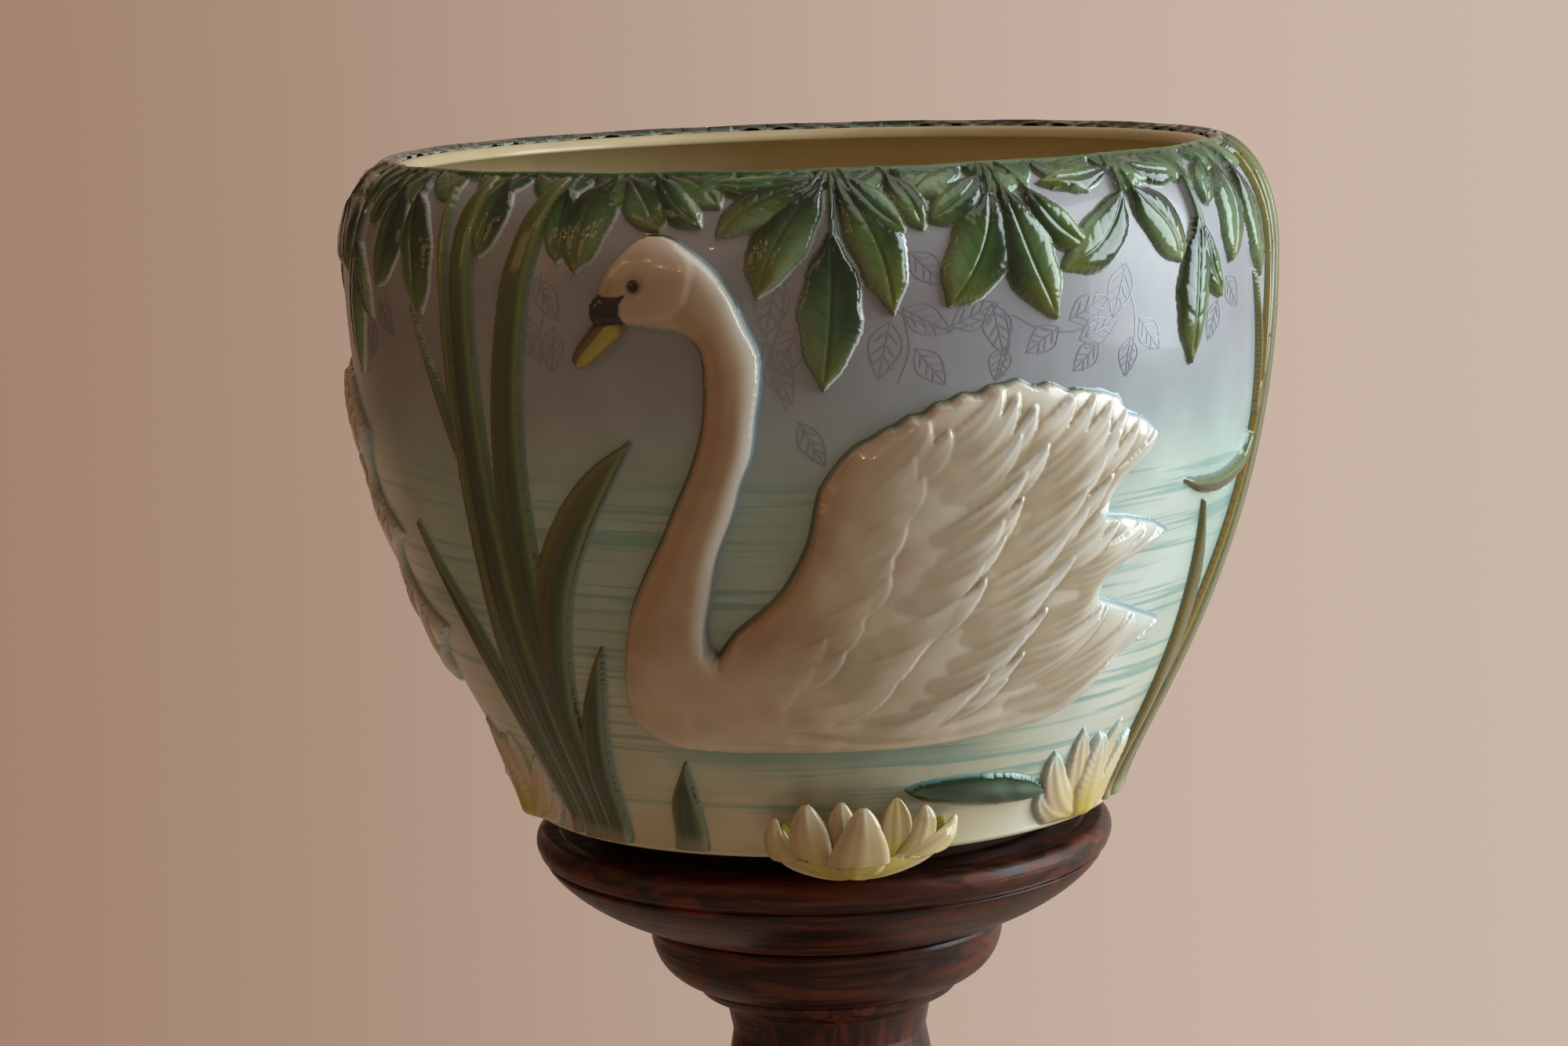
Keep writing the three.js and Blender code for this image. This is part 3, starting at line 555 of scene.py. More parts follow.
def make_swan():
    """Soft ridges joined within one outline, with the cheek, the feathers, ripples by the water, and the
    pooled glaze round it all. Its colours carry painted shade in the hollows, at the feather roots and on the
    left, and painted light on the ridges, the lower body and the right edges."""
    swan = Relief(left=-84, right=162, bottom=44, top=244, step=0.58)
    u, v = swan.u, swan.v
    edge = inside_outline(u, v, SWAN_OUTLINE)
    scallops = (np.cos(0.6 * u + 0.25 * v) + np.cos(0.37 * u - 0.2 * v)) * ramp(v, 148, 166)
    edge = edge + 0.5 * scallops * ramp(u, 14, 30) * ridge(edge, 0, 4)
    slope_v, slope_u = np.gradient(blurred(edge, 2.6), swan.step)
    right_side, left_side = unit(-slope_u), unit(slope_u)
    neck = ramp(v, 86, 100) * (1 - ramp(u + 0.3 * (v - 90), 2, 12)) * (1 - ramp(v, 222, 236))

    form = np.zeros(u.shape)
    for stations in (HEAD_AND_NECK, BODY, *WING):
        relief = HEAD_RELIEF if stations is HEAD_AND_NECK else SWAN_RELIEF
        line = smooth_line(stations, 3)
        line[:, 2] *= FORM_WIDENING
        nearest, _, _, _, rise = along_line(u, v, line)
        form = joined(form, relief * rise * dome(nearest, 3), 1.6)
    form = joined(form, 5.6 * dome(1 - unit(edge / 10)), 2.5)
    form = blurred(form, 4) * (1 - 0.36 * ramp(u, 30, 96))
    form = form + 0.45 * neck * right_side * ridge(edge, 4, 3.4)
    cheek = inside_outline(u, v, np.array(CHEEK, float))
    form = form + 0.75 * ramp(cheek, -1.4, 1.8) * (1 - ramp(v, 226, 238))

    wing_front = ramp(u - 0.32 * (v - 100), -24, 12) * ramp(v, 50, 66)
    wing_top = 1 - 0.5 * (1 - ramp(u - 0.3 * (v - 100), -5, 40))
    ripples = 0.3 * np.sin(v * 0.62 + 2.2 * np.sin(u * 0.043) + u * 0.02)
    ripples = ripples * ramp(u, -60, 0) * (1 - ramp(v, 56, 76)) * (1 - ramp(u, 95, 120))
    plumage, tone = feathers(swan)
    form = form + plumage * wing_front * wing_top * 1.1 + ripples

    rounding = 6.8 - 3.9 * neck * right_side - 3.0 * ramp(u, 88, 110)
    rim = 9.4 * dome(1 - unit(edge / rounding))
    form = -joined(-form, -rim, 1.0)

    # painted shade in the hollows and painted highlight on the ridges: how far the form lies below or above
    # its blurred self
    hollow = (blurred(form, 3.0) - form) * ramp(edge, 1.2, 3.5)
    broad = (blurred(form, 9.0) - form) * ramp(edge, 3, 8)
    # painted shade: peach darkening down the left side of each form, away from the light
    left_shade = left_side * np.exp(-np.maximum(edge, 0) / 8)
    # painted light on the lower body, as if from below
    lit_low_body = (1 - ramp(v, 50, 104)) * (1 - ramp(u, 50, 120))
    front = 1 - ramp(u - 0.35 * (v - 100), -30, 40)
    # the peach share: the glaze's own peach on the front and the neck, with painted shade on the left side
    warm = 0.6 * left_shade + 0.38 * front + 0.25 * neck - 0.2 * ramp(v, 196, 236)
    blotches = mottling(u.shape, 7, BLOTCH_SEED)
    plumed = wing_front * (0.35 + 0.65 * ramp(u - 0.3 * (v - 100), 0, 60))
    tint = coats(
        mix(IVORY, PEACH, np.clip(warm, 0, 0.95)),
        # painted light: the lower body lightened
        (shade("f2e2c6"), 0.55 * lit_low_body),
        (shade("bd8a70"), 0.3 * unit(blotches) * (1 - ramp(u, 60, 120))),
        (shade("8f8264"), 0.28 * unit(-blotches)),
        # painted shade at the feather roots and sides, then the pale glaze of the feather tips
        (SHADE_TAN, unit(1 - 1.5 * tone) * 0.66 * plumed),
        (WHITE, unit(1.6 * tone - 0.4) * 0.9 * plumed * ramp(u, 4, 80)),
        # painted cool light: bluish white near the tail's edges, most where they face right
        (shade("cddcdd"), 0.8 * ramp(u, 84, 145) * ramp(edge + 8 * right_side, 12, 2)),
        # painted shade in the hollows and painted highlight on the ridges
        (SHADE_TAN, unit(hollow / 0.36) * 0.8),
        (SHADE_TAN, unit(broad / 0.9) * 0.4),
        (WHITE, unit(-hollow / 0.26) * 0.6 * (0.3 + 0.7 * ramp(u, 0, 80))),
        # painted highlight along the edges that face right
        (WHITE, unit(1.3 * right_side) * ridge(np.maximum(edge, 0), 0, 3.2)),
    )
    swan.lay_form(WHOLE, edge, form + 0.05, tint, 3.0)
    paint_bill(swan)
    outside, bare = np.maximum(-edge, 0), ground(v, u)
    # the pooled glaze round the swan: its dark line holds painted shadow, its pale blue on the right painted
    # light
    pooled = coats(
        POOL_SHADOW_DARK,
        (POOL_LIT_BLUE, ramp(right_side + 0.6 * ramp(u, 90, 105), 0.2, 0.8)),
        (mix(bare, TEAL, 0.6), ramp(slope_v, 0.55, 0.9)),
        (bare, ramp(outside, 0.8, 2.0)),
    )
    swan.lay(WHOLE, SKIRT_RISE - SWAN_SKIRT_FALL * outside, pooled)
    return swan


BILL = [
    (-75.8, 198.2, 3.2, 0.45), (-73.6, 200.4, 4.1, 0.58), (-70.6, 203.3, 4.6, 0.7),
    (-67.6, 206.4, 5.0, 0.75), (-64.6, 209.6, 5.4, 0.78),
]
BILL_BASE = [
    (-56.4, 221.2), (-59, 218), (-59.3, 214.5), (-58.4, 210.5), (-62, 210.9), (-65.5, 210.7),
    (-68.5, 210), (-70.4, 211.5), (-71.3, 214.5), (-70.9, 217.8), (-69, 220.3), (-66.6, 221.2),
    (-63.5, 220.4), (-60.2, 220.3),
]
EYE = (-53.5, 223.9)
EYE_RADIUS = 2.1


def paint_bill(swan):
    """The olive bill with its black base, and the eye."""
    nearest, side, _, width, rise = along_line(swan.u, swan.v, smooth_line(BILL, 4))
    height = HEAD_RELIEF * rise * dome(nearest, 2.6)
    height = height - 0.45 * ridge(side, 0.9, 0.45)
    tint = coats(
        shade("b5ab4a"),
        (shade("6b4a22"), ramp(side, 0.2, 2.2)),
        (shade("8a5a2a"), 0.6 * ramp(-side / width, 0.55, 0.95)),
        (shade("3a2a14"), 0.7 * ridge(side, 0.9, 0.6)),
    )
    swan.lay_form(WHOLE, (1 - nearest) * width, height, tint, 3.0)
    swan.lay_skirt(WHOLE, nearest, width, mix(swan.bare(WHOLE), POOL_SHADOW_DARK, 0.5))

    knob_edge = inside_outline(swan.u, swan.v, np.array(BILL_BASE))
    knob = 6.4 * dome(1 - unit(knob_edge / 3.4))
    black = np.broadcast_to(BILL_BLACK, swan.rgb.shape)
    swan.lay_form(WHOLE, knob_edge, knob, black, 3.0)
    swan.rgb = mix(swan.rgb, BILL_BLACK, ramp(knob_edge, -0.4, 0.1) * ramp(swan.h, 0.3, 0.8))

    eye = np.hypot(swan.u - EYE[0], swan.v - EYE[1])
    swan.h = swan.h + 0.75 * dome(eye / EYE_RADIUS)
    swan.h = swan.h - 0.4 * ridge(eye, EYE_RADIUS + 0.8, 0.7)
    swan.rgb = mix(swan.rgb, shade("8d6f4f"), 0.5 * ridge(eye, EYE_RADIUS + 0.5, 0.6))
    swan.rgb = mix(swan.rgb, shade("0d0a09"), 1 - ramp(eye, EYE_RADIUS - 0.3, EYE_RADIUS + 0.3))


# ---- reeds --------------------------------------------------------------------------------------

REED_RELIEF = 3.5

# blades of one clump, the lowest first: how straw-coloured each is, from 0 to 1, its lift, and its
# stations from root to tip
REED_BLADES = [
    (0.95, 0.0, [
        (-150, 2, 4, 0.6), (-147, 45, 4, 0.6), (-142, 82, 3.4, 0.7), (-136.5, 118, 2.8, 0.7),
        (-133.5, 155, 2.2, 0.75), (-132.5, 190, 2.1, 0.8), (-133, 222, 2.0, 0.75),
        (-134.5, 240, 2.0, 0.8), (-136.5, 256, 1.6, 0.8),
    ]),
    (0.6, 0.0, [(-134.5, 160, 1.8, 0.6), (-141, 185, 2.2, 0.7), (-152, 214, 0.5, 0.5)]),
    (0.35, 0.0, [
        (-149, 8, 5, 0.6), (-150.5, 40, 6, 0.75), (-155, 72, 6.3, 0.75), (-163, 100, 5, 0.7),
        (-176, 131, 0.5, 0.5),
    ]),
    (0.35, 0.1, [
        (-126, 1, 6, 0.8), (-123, 38, 7, 0.9), (-115, 75, 8.5, 1.0), (-103, 110, 8.2, 1.0),
        (-89, 135, 7, 0.9), (-75, 154, 4.8, 0.8), (-61, 169, 0.4, 0.5),
    ]),
    (0.12, 0.2, [
        (-134, 1, 8, 0.8), (-132.5, 48, 8.5, 0.9), (-130, 92, 7.6, 0.95), (-126.5, 138, 6.2, 0.9),
        (-125, 184, 5.2, 0.9), (-124.5, 222, 5.0, 0.9), (-124, 236, 5, 0.9), (-123, 248, 4.6, 0.9),
        (-120.5, 261, 2.8, 0.8),
    ]),
    (0.18, 0.3, [
        (-124, 1, 7, 0.8), (-120.5, 45, 8.4, 0.95), (-116.5, 92, 8.4, 0.95), (-112.5, 138, 7.5, 0.95),
        (-108, 180, 6.5, 0.9), (-101.5, 218, 5.8, 0.9), (-97, 235, 5.2, 0.9), (-93, 248, 4.6, 0.9),
        (-87, 261, 2.4, 0.8),
    ]),
    (0.1, 0.45, [
        (-114, 1, 6.5, 0.9), (-112, 28, 7.2, 0.95), (-104.5, 52, 6.2, 0.9), (-94.5, 73, 3.8, 0.8),
        (-87, 89, 0.4, 0.5),
    ]),
]
BENT_BLADE = (0.3, 0.4, [
    (-136, 149, 2.5, 0.75), (-145, 141, 3, 0.8), (-166, 137, 3.2, 0.8), (-181, 138, 2.6, 0.75),
    (-193, 141, 0.6, 0.5),
])
SPROUT = (0.0, 0.0, [
    (-70.5, 1, 9.5, 0.8), (-69, 16, 8, 0.9), (-65.5, 29, 4, 0.8), (-62.5, 40, 0.4, 0.5),
])


def lay_blade(patch, straw, lift, stations):
    """One reed blade with a channel down its middle, fine ribs and lighter edges, with painted warm light on
    its left edge, a painted highlight along its right edge and painted shadow in the pooled glaze on its
    left.
    """
    part, nearest, side, along, width, rise = patch.beside(stations, 5)
    across = np.clip(side / width, -1, 1)
    crown = dome(nearest, 3.4)
    broad = ramp(width, 4, 7)
    ribs = 0.09 * np.cos(across * 9) * broad
    channel = 0.3 * ridge(side, 0, 1.2) * broad
    height = REED_RELIEF * rise * crown * (0.9 + 0.1 * (1 - across**2)) + (ribs - channel) * crown
    height = np.minimum(height + lift, REED_RELIEF)
    up = patch.v[part]
    body = coats(
        REED,
        (REED_DEEP, 0.85 * ridge(across, 0.05, 0.5)),
        (REED_LIGHT, 0.25 * ramp(np.abs(across), 0.6, 0.95)),
        # gold on the left edge: the blade's straw glaze and painted warm light from the left
        (REED_GOLD, (0.16 + straw) * ramp(across, 0.4, 0.9)),
        (REED_GOLD, 0.5 * straw * ramp(across, -0.6, 0.3)),
        (REED_DEEP, 0.35 * (1 - ramp(up, 40, 130)) * ramp(-across, -0.5, 0.2)),
        (REED_LIGHT, 0.4 * ramp(along, 0.7, 1.0)),
        (REED_LIGHT, 0.07 * (1 + np.cos(across * 9)) * broad),
        # painted highlight just inside the right edge
        (shade("a9b07a"), 0.3 * ridge(side + width, 1.4, 0.8)),
        (BANK, 0.35 * (1 - ramp(up, 2, 10))),
    )
    patch.lay_form(part, (1 - nearest) * width, height + 0.02, body, REED_RELIEF * rise)
    # the pooled glaze: pale aqua on the right, dark with painted shadow on the left
    pooled = mix(shade("748f85"), POOL_SHADOW_DARK, ramp(side, -0.5, 0.5))
    patch.lay_skirt(part, nearest, width, pooled, (0.3, 1.4))


def make_reeds(extra=()):
    """One clump, over any extra blades."""
    patch = Relief(left=-197 if extra else -180, right=-56, bottom=0.2, top=264, step=0.6)
    for blade in [*extra, *REED_BLADES]:
        lay_blade(patch, *blade)
    return patch


def make_sprout():
    """The short single blade in front of a clump."""
    patch = Relief(left=-84, right=-56, bottom=0.2, top=43, step=0.6)
    lay_blade(patch, *SPROUT)
    return patch


# ---- leaf garland -------------------------------------------------------------------------------

LEAF_RELIEF = 3.6

# [base across, base up, tip across, tip up, half width, across of the twig it hangs from, sideways
# bend, age (0 deep green to 1 olive)]
LEAVES = [
    (4, 260, -35, 259.5, 4.6, 8, 1.5, 0.1), (114, 258, 82, 255, 4.2, 118, 1, 0.6),
    (123, 259, 148, 253, 4.4, 121, -1, 0.2), (28, 261, 38, 240, 5, 26, 1, 0.2),
    (60, 258, 40, 243, 6, 64, 1.5, 0.15), (14, 260, 32, 240, 6, 12, -1.5, 0.05),
    (76, 252, 96, 230, 6.2, 70, -2.5, 0.35), (-62, 262, -48, 242, 6.8, -63, 1, 0.3),
    (-51, 262, -34, 243, 5.4, -55, -1, 0.1), (-84, 257, -84, 231, 5.8, -82, 1, 0.35),
    (-112, 261, -117, 232, 5.8, -112, 1, 0.3), (168, 257, 158, 241, 5.2, 170, 0, 0.2),
    (151, 234, 163, 207, 5.2, 150, -2, 0.25), (2, 257, -29, 240, 6.8, 8, -2.5, 0.75),
    (5, 256, -16, 219, 8.4, 9, -3, 0.7), (11, 258, 27, 212, 7.8, 10, 3.5, 0.55),
    (-67, 262, -77, 228, 8.4, -66, -2.5, 0.35), (8, 239, 4, 187, 9, 9, 1, 0.35),
    (62, 251, 45, 214, 9.8, 65, 3, 0.35), (67, 253, 83, 207, 8.8, 66, -2, 0.55),
    (114, 248, 85, 224, 7.8, 118, 4, 0.6), (120, 249, 138, 222, 8.4, 119, 2.5, 0.5),
    (149, 236, 145, 185, 7.8, 149, -1.5, 0.45), (176, 256, 170, 219, 8.6, 176, 3, 0.4),
    (190, 253, 199, 211, 7.8, 188, 1.5, 0.35),
]
LEAF_WIDTHS = [0.18, 0.58, 0.94, 1.1, 1.08, 0.88, 0.48, 0.05]
GARLAND_SEAM = 43
TWIG_UP = 265.4
RIM_LEAVES = 13
RIM_LEAF_TOP, RIM_LEAF_TIP, RIM_LEAF_REACH, RIM_LEAF_RELIEF = 266.5, 249, 19, 0.74 * LEAF_RELIEF


def leaf_line(leaf):
    """The stations of a leaf's middle from base to tip, and its length."""
    base_u, base_v, tip_u, tip_v, half_width, _, bend, _ = leaf
    base, run = np.array([base_u, base_v]), np.array([tip_u - base_u, tip_v - base_v])
    normal = np.array([-run[1], run[0]]) / np.hypot(*run)
    shares = np.linspace(0, 1, len(LEAF_WIDTHS))
    stations = [
        (*(base + run * s + normal * bend * np.sin(np.pi * s)), max(half_width * w, 0.3), 1)
        for s, w in zip(shares, LEAF_WIDTHS)
    ]
    return stations, np.hypot(*run)


def lay_leaf(patch, leaf, order, relief=LEAF_RELIEF):
    """One leaf: raised lobes between cut veins, with a pale rim and a pooled edge, painted shade on its
    hollow side and painted light on the other side and along its right edge.
    """
    *_, bend, age = leaf
    stations, length = leaf_line(leaf)
    part, nearest, side, along, width, _ = patch.beside(stations, 3)
    if relief == LEAF_RELIEF:
        lobes = along * length / 5.2 + 0.9 * np.sign(side) + 2.1 * order
        nearest = nearest / (1 + 0.05 * np.sin(2 * np.pi * lobes / 2.6))
    across = np.clip(side / np.maximum(width, 0.5), -1, 1)
    fullness = ramp(width, 0.6, 3.5)
    hollow_side = across * np.sign(bend + 0.01)
    crown = unit(1 - nearest**3.0) ** 0.52
    fold = 0.5 * np.sin(np.pi * unit(np.abs(across))) ** 0.8
    midrib = ridge(side, 0, 0.55)
    vein = (along * length + 0.8 * np.abs(side)) / (length / 6.5)
    veins = ridge(vein % 1, 0.5, 0.12) * ramp(np.abs(side), 0.4, 1.4)
    veins = veins * (1 - ramp(np.abs(across), 0.7, 0.95)) * fullness
    body = 0.7 + 0.13 * fold - 0.13 * hollow_side * fullness - 0.13 * midrib * fullness - 0.035 * veins
    body = body + 0.07 * np.sin(along * 9 + order) * (1 - across**2) * fullness
    height = relief * (body + 0.02 * (order % 5)) * crown
    height = height * (1 - 0.35 * ramp(along, 0.75, 1))
    height = np.minimum(height, relief)

    young = mix(LEAF, shade("3a6f52"), order % 3 / 3)
    tint = coats(
        mix(young, LEAF_OLIVE, 0.4 * age),
        # painted shade on the hollow side
        (LEAF_DEEP, 0.8 * ramp(hollow_side, -0.1, 0.5) * (1 - ramp(along, 0.45, 1.0))),
        (LEAF_DEEP, 0.9 * (1 - ramp(along, 0.05, 0.5))),
        (LEAF_DEEP, 0.5 * midrib * fullness),
        (LEAF_DEEP, 0.22 * veins),
        (LEAF_OLIVE, (0.3 + 0.6 * age) * ramp(along, 0.5, 0.95)),
        # painted light on the side away from the hollow
        (LEAF_PALE, 0.45 * ramp(-hollow_side, 0.2, 0.75) * ramp(along, 0.3, 0.6)),
        (LEAF_PALE, 0.25 * ramp(nearest, 0.86, 0.98)),
    )
    patch.lay_form(part, (1 - nearest) * width, height + 0.02, tint, 0.6 * LEAF_RELIEF)

    slope_v, slope_u = np.gradient(nearest)
    # the pooled edge: pale with painted light where it faces right, dark with painted shade where it faces
    # left
    rightward = ramp(slope_u / (np.hypot(slope_u, slope_v) + 1e-9), -0.1, 0.7)
    pooled = mix(shade("5f6f5c"), shade("d3dde2"), rightward)
    patch.lay_skirt(part, nearest, width, pooled, (0.35, 1.3))


def lay_stem(patch, stations, relief):
    """A round stem or twig."""
    part, nearest, side, _, width, _ = patch.beside(stations, 4)
    height = relief * dome(nearest)
    tint = mix(LEAF, LEAF_DEEP, ramp(side, -0.6, 0.6))
    patch.lay_form(part, (1 - nearest) * width, height, tint, relief)
    patch.lay_skirt(part, nearest, width, patch.bare(part))


def make_garland():
    """One third of the garland: leaf stems, hanging leaves, overlapping small leaves along the rim and
    the twig that they all hang from."""
    start = GARLAND_SEAM - THIRD_ACROSS / 2
    patch = Relief(left=start, right=start + THIRD_ACROSS, bottom=182, top=DRAWING_HEIGHT, step=0.56)
    for leaf in LEAVES:
        base, hang = leaf[:2], leaf[5]
        halfway = (hang + base[0]) / 2, (TWIG_UP + base[1]) / 2 + 1
        lay_stem(patch, [(hang, TWIG_UP, 1.5, 1), (*halfway, 1.3, 1), (*base, 1.1, 1)], 2.9)
    for order, leaf in enumerate(LEAVES):
        lay_leaf(patch, leaf, order)
    for order, across in enumerate(np.arange(start, start + THIRD_ACROSS, THIRD_ACROSS / RIM_LEAVES)):
        for way in (1, -1):
            tip = across + way * (RIM_LEAF_REACH + 3 * (order % 2)), RIM_LEAF_TIP + order * 2 % 5
            leaf = (across, RIM_LEAF_TOP, *tip, 6.6, across, 2 * way, 0.1)
            lay_leaf(patch, leaf, order, RIM_LEAF_RELIEF)
    twig = np.arange(start - 4, start + THIRD_ACROSS + 8, 12)
    wavy = [(x, TWIG_UP + 0.6 * np.sin(x * 0.11), 1.7, 1) for x in twig]
    lay_stem(patch, wavy, 2.8)
    return patch


# ---- lily pad -----------------------------------------------------------------------------------

PAD_LINE = [
    (40, 26, 0.6, 0.8), (50, 24.8, 4.2, 1), (70, 23.2, 6.6, 1), (92, 21, 6.8, 1),
    (110, 18.6, 4.6, 1), (121, 16.8, 0.6, 0.8),
]
PAD_RELIEF = 2.9


def make_pad():
    """A long pad seen from its edge, with soft folds, a painted highlight and an ochre lower edge."""
    patch = Relief(left=34, right=128, bottom=8, top=36, step=0.66)
    nearest, side, along, width, _ = along_line(patch.u, patch.v, smooth_line(PAD_LINE, 5))
    across = side / np.maximum(width, 0.6)
    crown = unit(1 - nearest**3) ** 0.45
    folds = 0.3 * np.cos(along * 15 + across * 2.5 + 2 * np.sin(along * 9))
    height = PAD_RELIEF * crown * (0.8 - 0.14 * across) + folds * crown * ramp(width, 1, 4) * 0.6
    tint = coats(
        PAD,
        (PAD_DEEP, 0.5 + 0.4 * np.cos(along * 15 + across * 3 + 2 * np.sin(along * 9))),
        # painted highlight along the pad's upper middle
        (shade("86a89c"), 0.35 * ridge(across, 0.2, 0.3) * ramp(along, 0.3, 0.6)),
        (PAD_DEEP, 0.5 * ramp(across, 0.45, 0.95)),
        (OCHRE, 0.9 * (1 - ramp(across, -0.95, -0.6))),
    )
    patch.lay_form(WHOLE, (1 - nearest) * width, np.minimum(height, 3.2), tint, PAD_RELIEF)
    pooled = mix(OCHRE, TEAL, ramp(side, -0.5, 0.5))
    patch.lay_skirt(WHOLE, nearest, width, pooled, (0.3, 1.5))
    return patch


# ---- water lilies -------------------------------------------------------------------------------

# petals from tip to root: stations of [across, up, half width, lift of its middle], how far its
# middle bulges out, and how yellow it is
FRONT_LILY = [
    ([(8, 27.5, 0.8, 6.5), (8.2, 20, 6.4, 8.5), (9, 10, 7.4, 10.5), (10, 2, 6, 12)], 1.2, 0.15),
    ([(33.5, 27, 0.8, 5.5), (33.6, 19, 7.2, 8), (33, 8, 7.4, 11), (29, -1, 5.4, 13)], -0.5, 0.9),
    ([(48, 22.5, 0.8, 5), (47.5, 16, 6.6, 7.5), (43.5, 7, 7, 10.5), (35, -1, 5.6, 13)], 1.2, 0.45),
    ([(-8, 28, 0.8, 7.5), (-7.4, 19, 8.2, 10), (-5.4, 9, 9.2, 12.5), (0, 0, 6, 14)], 2.0, 0.2),
    ([(-23, 20, 0.8, 5.5), (-23.4, 12, 5.4, 8.5), (-17.5, 4.4, 6.4, 11.6), (-5, -0.8, 5.6, 13.4),
      (8, -3.6, 4.4, 14.2), (18, -4, 2.4, 13.6)], 1.6, 0.7),
    ([(65.5, 15.6, 0.8, 4.5), (59.5, 9, 5.2, 8), (47.5, 4, 6.6, 11.4), (33, -0.8, 5.6, 13.4),
      (19, -3.6, 4.4, 14.2), (9, -4, 2.4, 13.6)], 1.6, 0.7),
    ([(17, 29.8, 0.8, 12.6), (16.8, 21.5, 8.2, 15), (16, 11.5, 13, 17), (14.4, 2.5, 14, 17.6),
      (13.2, -3.8, 11, 17), (12.8, -7.4, 5.5, 15)], 1.6, 0.5),
]
FRONT_HULL = [
    (-21, 13, 1, 4), (-17, 5, 5, 8.5), (-5, 0.6, 6, 12), (14, -1.6, 6, 13.4), (33, 0.4, 6, 12),
    (51, 4.6, 5, 8), (62, 11.4, 1, 3.5),
]
LILY_STEPS = 7
PETAL_THICKNESS = 2.6
# the lowest lifts of a shell's front and back, just inside the wall
LOWEST_FRONT, LOWEST_BACK = -0.3, -0.5
# the side lily lies low on the wall: how yellow each petal is, and its stations from tip to root with
# the height of its middle
SIDE_LILY = [
    (0.0, [(134, 42, 0.5, 1.0), (137, 33, 5.6, 2.0), (143, 18, 8.4, 3.8), (149, 5, 8, 5)]),
    (0.1, [(167, 41, 0.5, 1.0), (164.5, 32, 5.6, 2.0), (160, 18, 8.4, 3.8), (155, 5, 8, 5)]),
    (0.0, [(119, 34, 0.5, 1.2), (122.5, 25, 6.4, 2.6), (132, 12, 8.6, 4.6), (146, 3, 8, 5.4)]),
    (0.1, [(185, 33, 0.5, 1.2), (181, 24, 6.4, 2.6), (172, 12, 8.6, 4.6), (158, 3, 8, 5.4)]),
    (0.6, [(118, 17, 0.5, 1.4), (123, 10, 5.2, 3), (136, 3.4, 7, 5), (150, 1, 7, 5.8)]),
    (0.6, [(187, 17, 0.5, 1.4), (181, 10, 5.2, 3), (168, 3.4, 7, 5), (154, 1, 7, 5.8)]),
    (0.9, [(151, 37, 0.5, 1.8), (151.5, 29, 8, 4), (152, 16, 12.5, 6.4), (152.5, 5, 12, 7.6),
           (152.5, 0, 9, 7.4)]),
]


def make_side_lily():
    """Broad petals one over the other, that rise from the wall and curl under at the bottom edge."""
    patch = Relief(left=112, right=194, bottom=0.2, top=45, step=0.66)
    for yellow, stations in SIDE_LILY:
        nearest, side, along, width, rise = along_line(patch.u, patch.v, smooth_line(stations, 5))
        across = side / np.maximum(width, 0.6)
        curl = dome(1 - unit(patch.v / 7))
        ribs = 0.16 * np.cos(across * 9) * ramp(width, 2, 5)
        rim = 0.35 * ridge(nearest, 0.8, 0.12)
        height = (rise * (0.72 + 0.28 * (1 - across**2)) + ribs + rim) * dome(nearest, 4)
        height = np.where(nearest < 1, height * curl, SUNK)
        tint = coats(
            shade("d9e8e2"),
            (CREAM, ramp(along, 0.0, 0.3)),
            (LILY_YELLOW, min(0.35 + yellow, 0.95) * ramp(along, 0.3, 0.8)),
            (LILY_SHADE, 0.5 * ridge(nearest, 0.93, 0.1) * ramp(along, 0.1, 0.4)),
            (WHITE, 0.6 * ridge(nearest, 0.76, 0.14) * (1 - ramp(along, 0.4, 0.8))),
        )
        patch.lay_form(WHOLE, (1 - nearest) * width, height, tint, 2.0)
        pooled = mix(patch.bare(WHOLE), TEAL, 0.7)
        patch.lay_skirt(WHOLE, nearest, width, pooled, (0.3, 1.5))
    return patch


def spread(line, columns):
    """A sheet beside a line, out to its half width on both sides: the side of each column, from -1 to
    1, and the across and up of each point."""
    side = np.sin(np.linspace(-1, 1, columns) * np.pi / 2)
    normal = normals(line)
    across = line[:, None, 0] + normal[:, None, 0] * side * line[:, None, 2]
    up = line[:, None, 1] + normal[:, None, 1] * side * line[:, None, 2]
    return side, across, up


def petal(stations, bulge, yellow):
    """One petal: the across, up and lift of its front and back sheets, and the colour of each."""
    line = smooth_line(stations, LILY_STEPS)
    rounding = (0.05 + np.arange(LILY_STEPS) / LILY_STEPS) ** 0.6
    line[:LILY_STEPS, 2] = line[LILY_STEPS, 2] * rounding
    side, across, up = spread(line, 17)
    share = np.linspace(0, 1, len(line))[:, None] + 0 * up
    full = np.minimum(1, line[:, None, 2] / 5)
    middle = line[:, None, 3] + bulge * (1 - side**2) * full
    rim = 0.45 * ridge(np.abs(side), 0.86, 0.1) * full
    ribs = 0.22 * np.cos(side * 10) * (1 - side**2) * full
    half = 0.5 * PETAL_THICKNESS * dome(side) * (0.45 + 0.55 * ramp(share, 0, 0.2))
    fronts, backs = middle + half + rim + ribs, middle - half
    tint = coats(
        CREAM,
        (WHITE, 0.6 * (1 - ramp(share, 0.0, 0.3))),
        (LILY_YELLOW, unit(yellow + 0.35) * ramp(share, 0.25, 0.8)),
        (LILY_YELLOW, 0.6 * yellow * (1 - ramp(share, 0.1, 0.6))),
        (LILY_SHADE, 0.35 * ridge(np.abs(side), 0.68, 0.16) * full),
        (CREAM, 0.7 * ramp(np.abs(side) + 0 * share, 0.78, 0.95)),
    )
    return across, up, fronts, backs, tint, mix(tint, LILY_SHADE, 0.7)


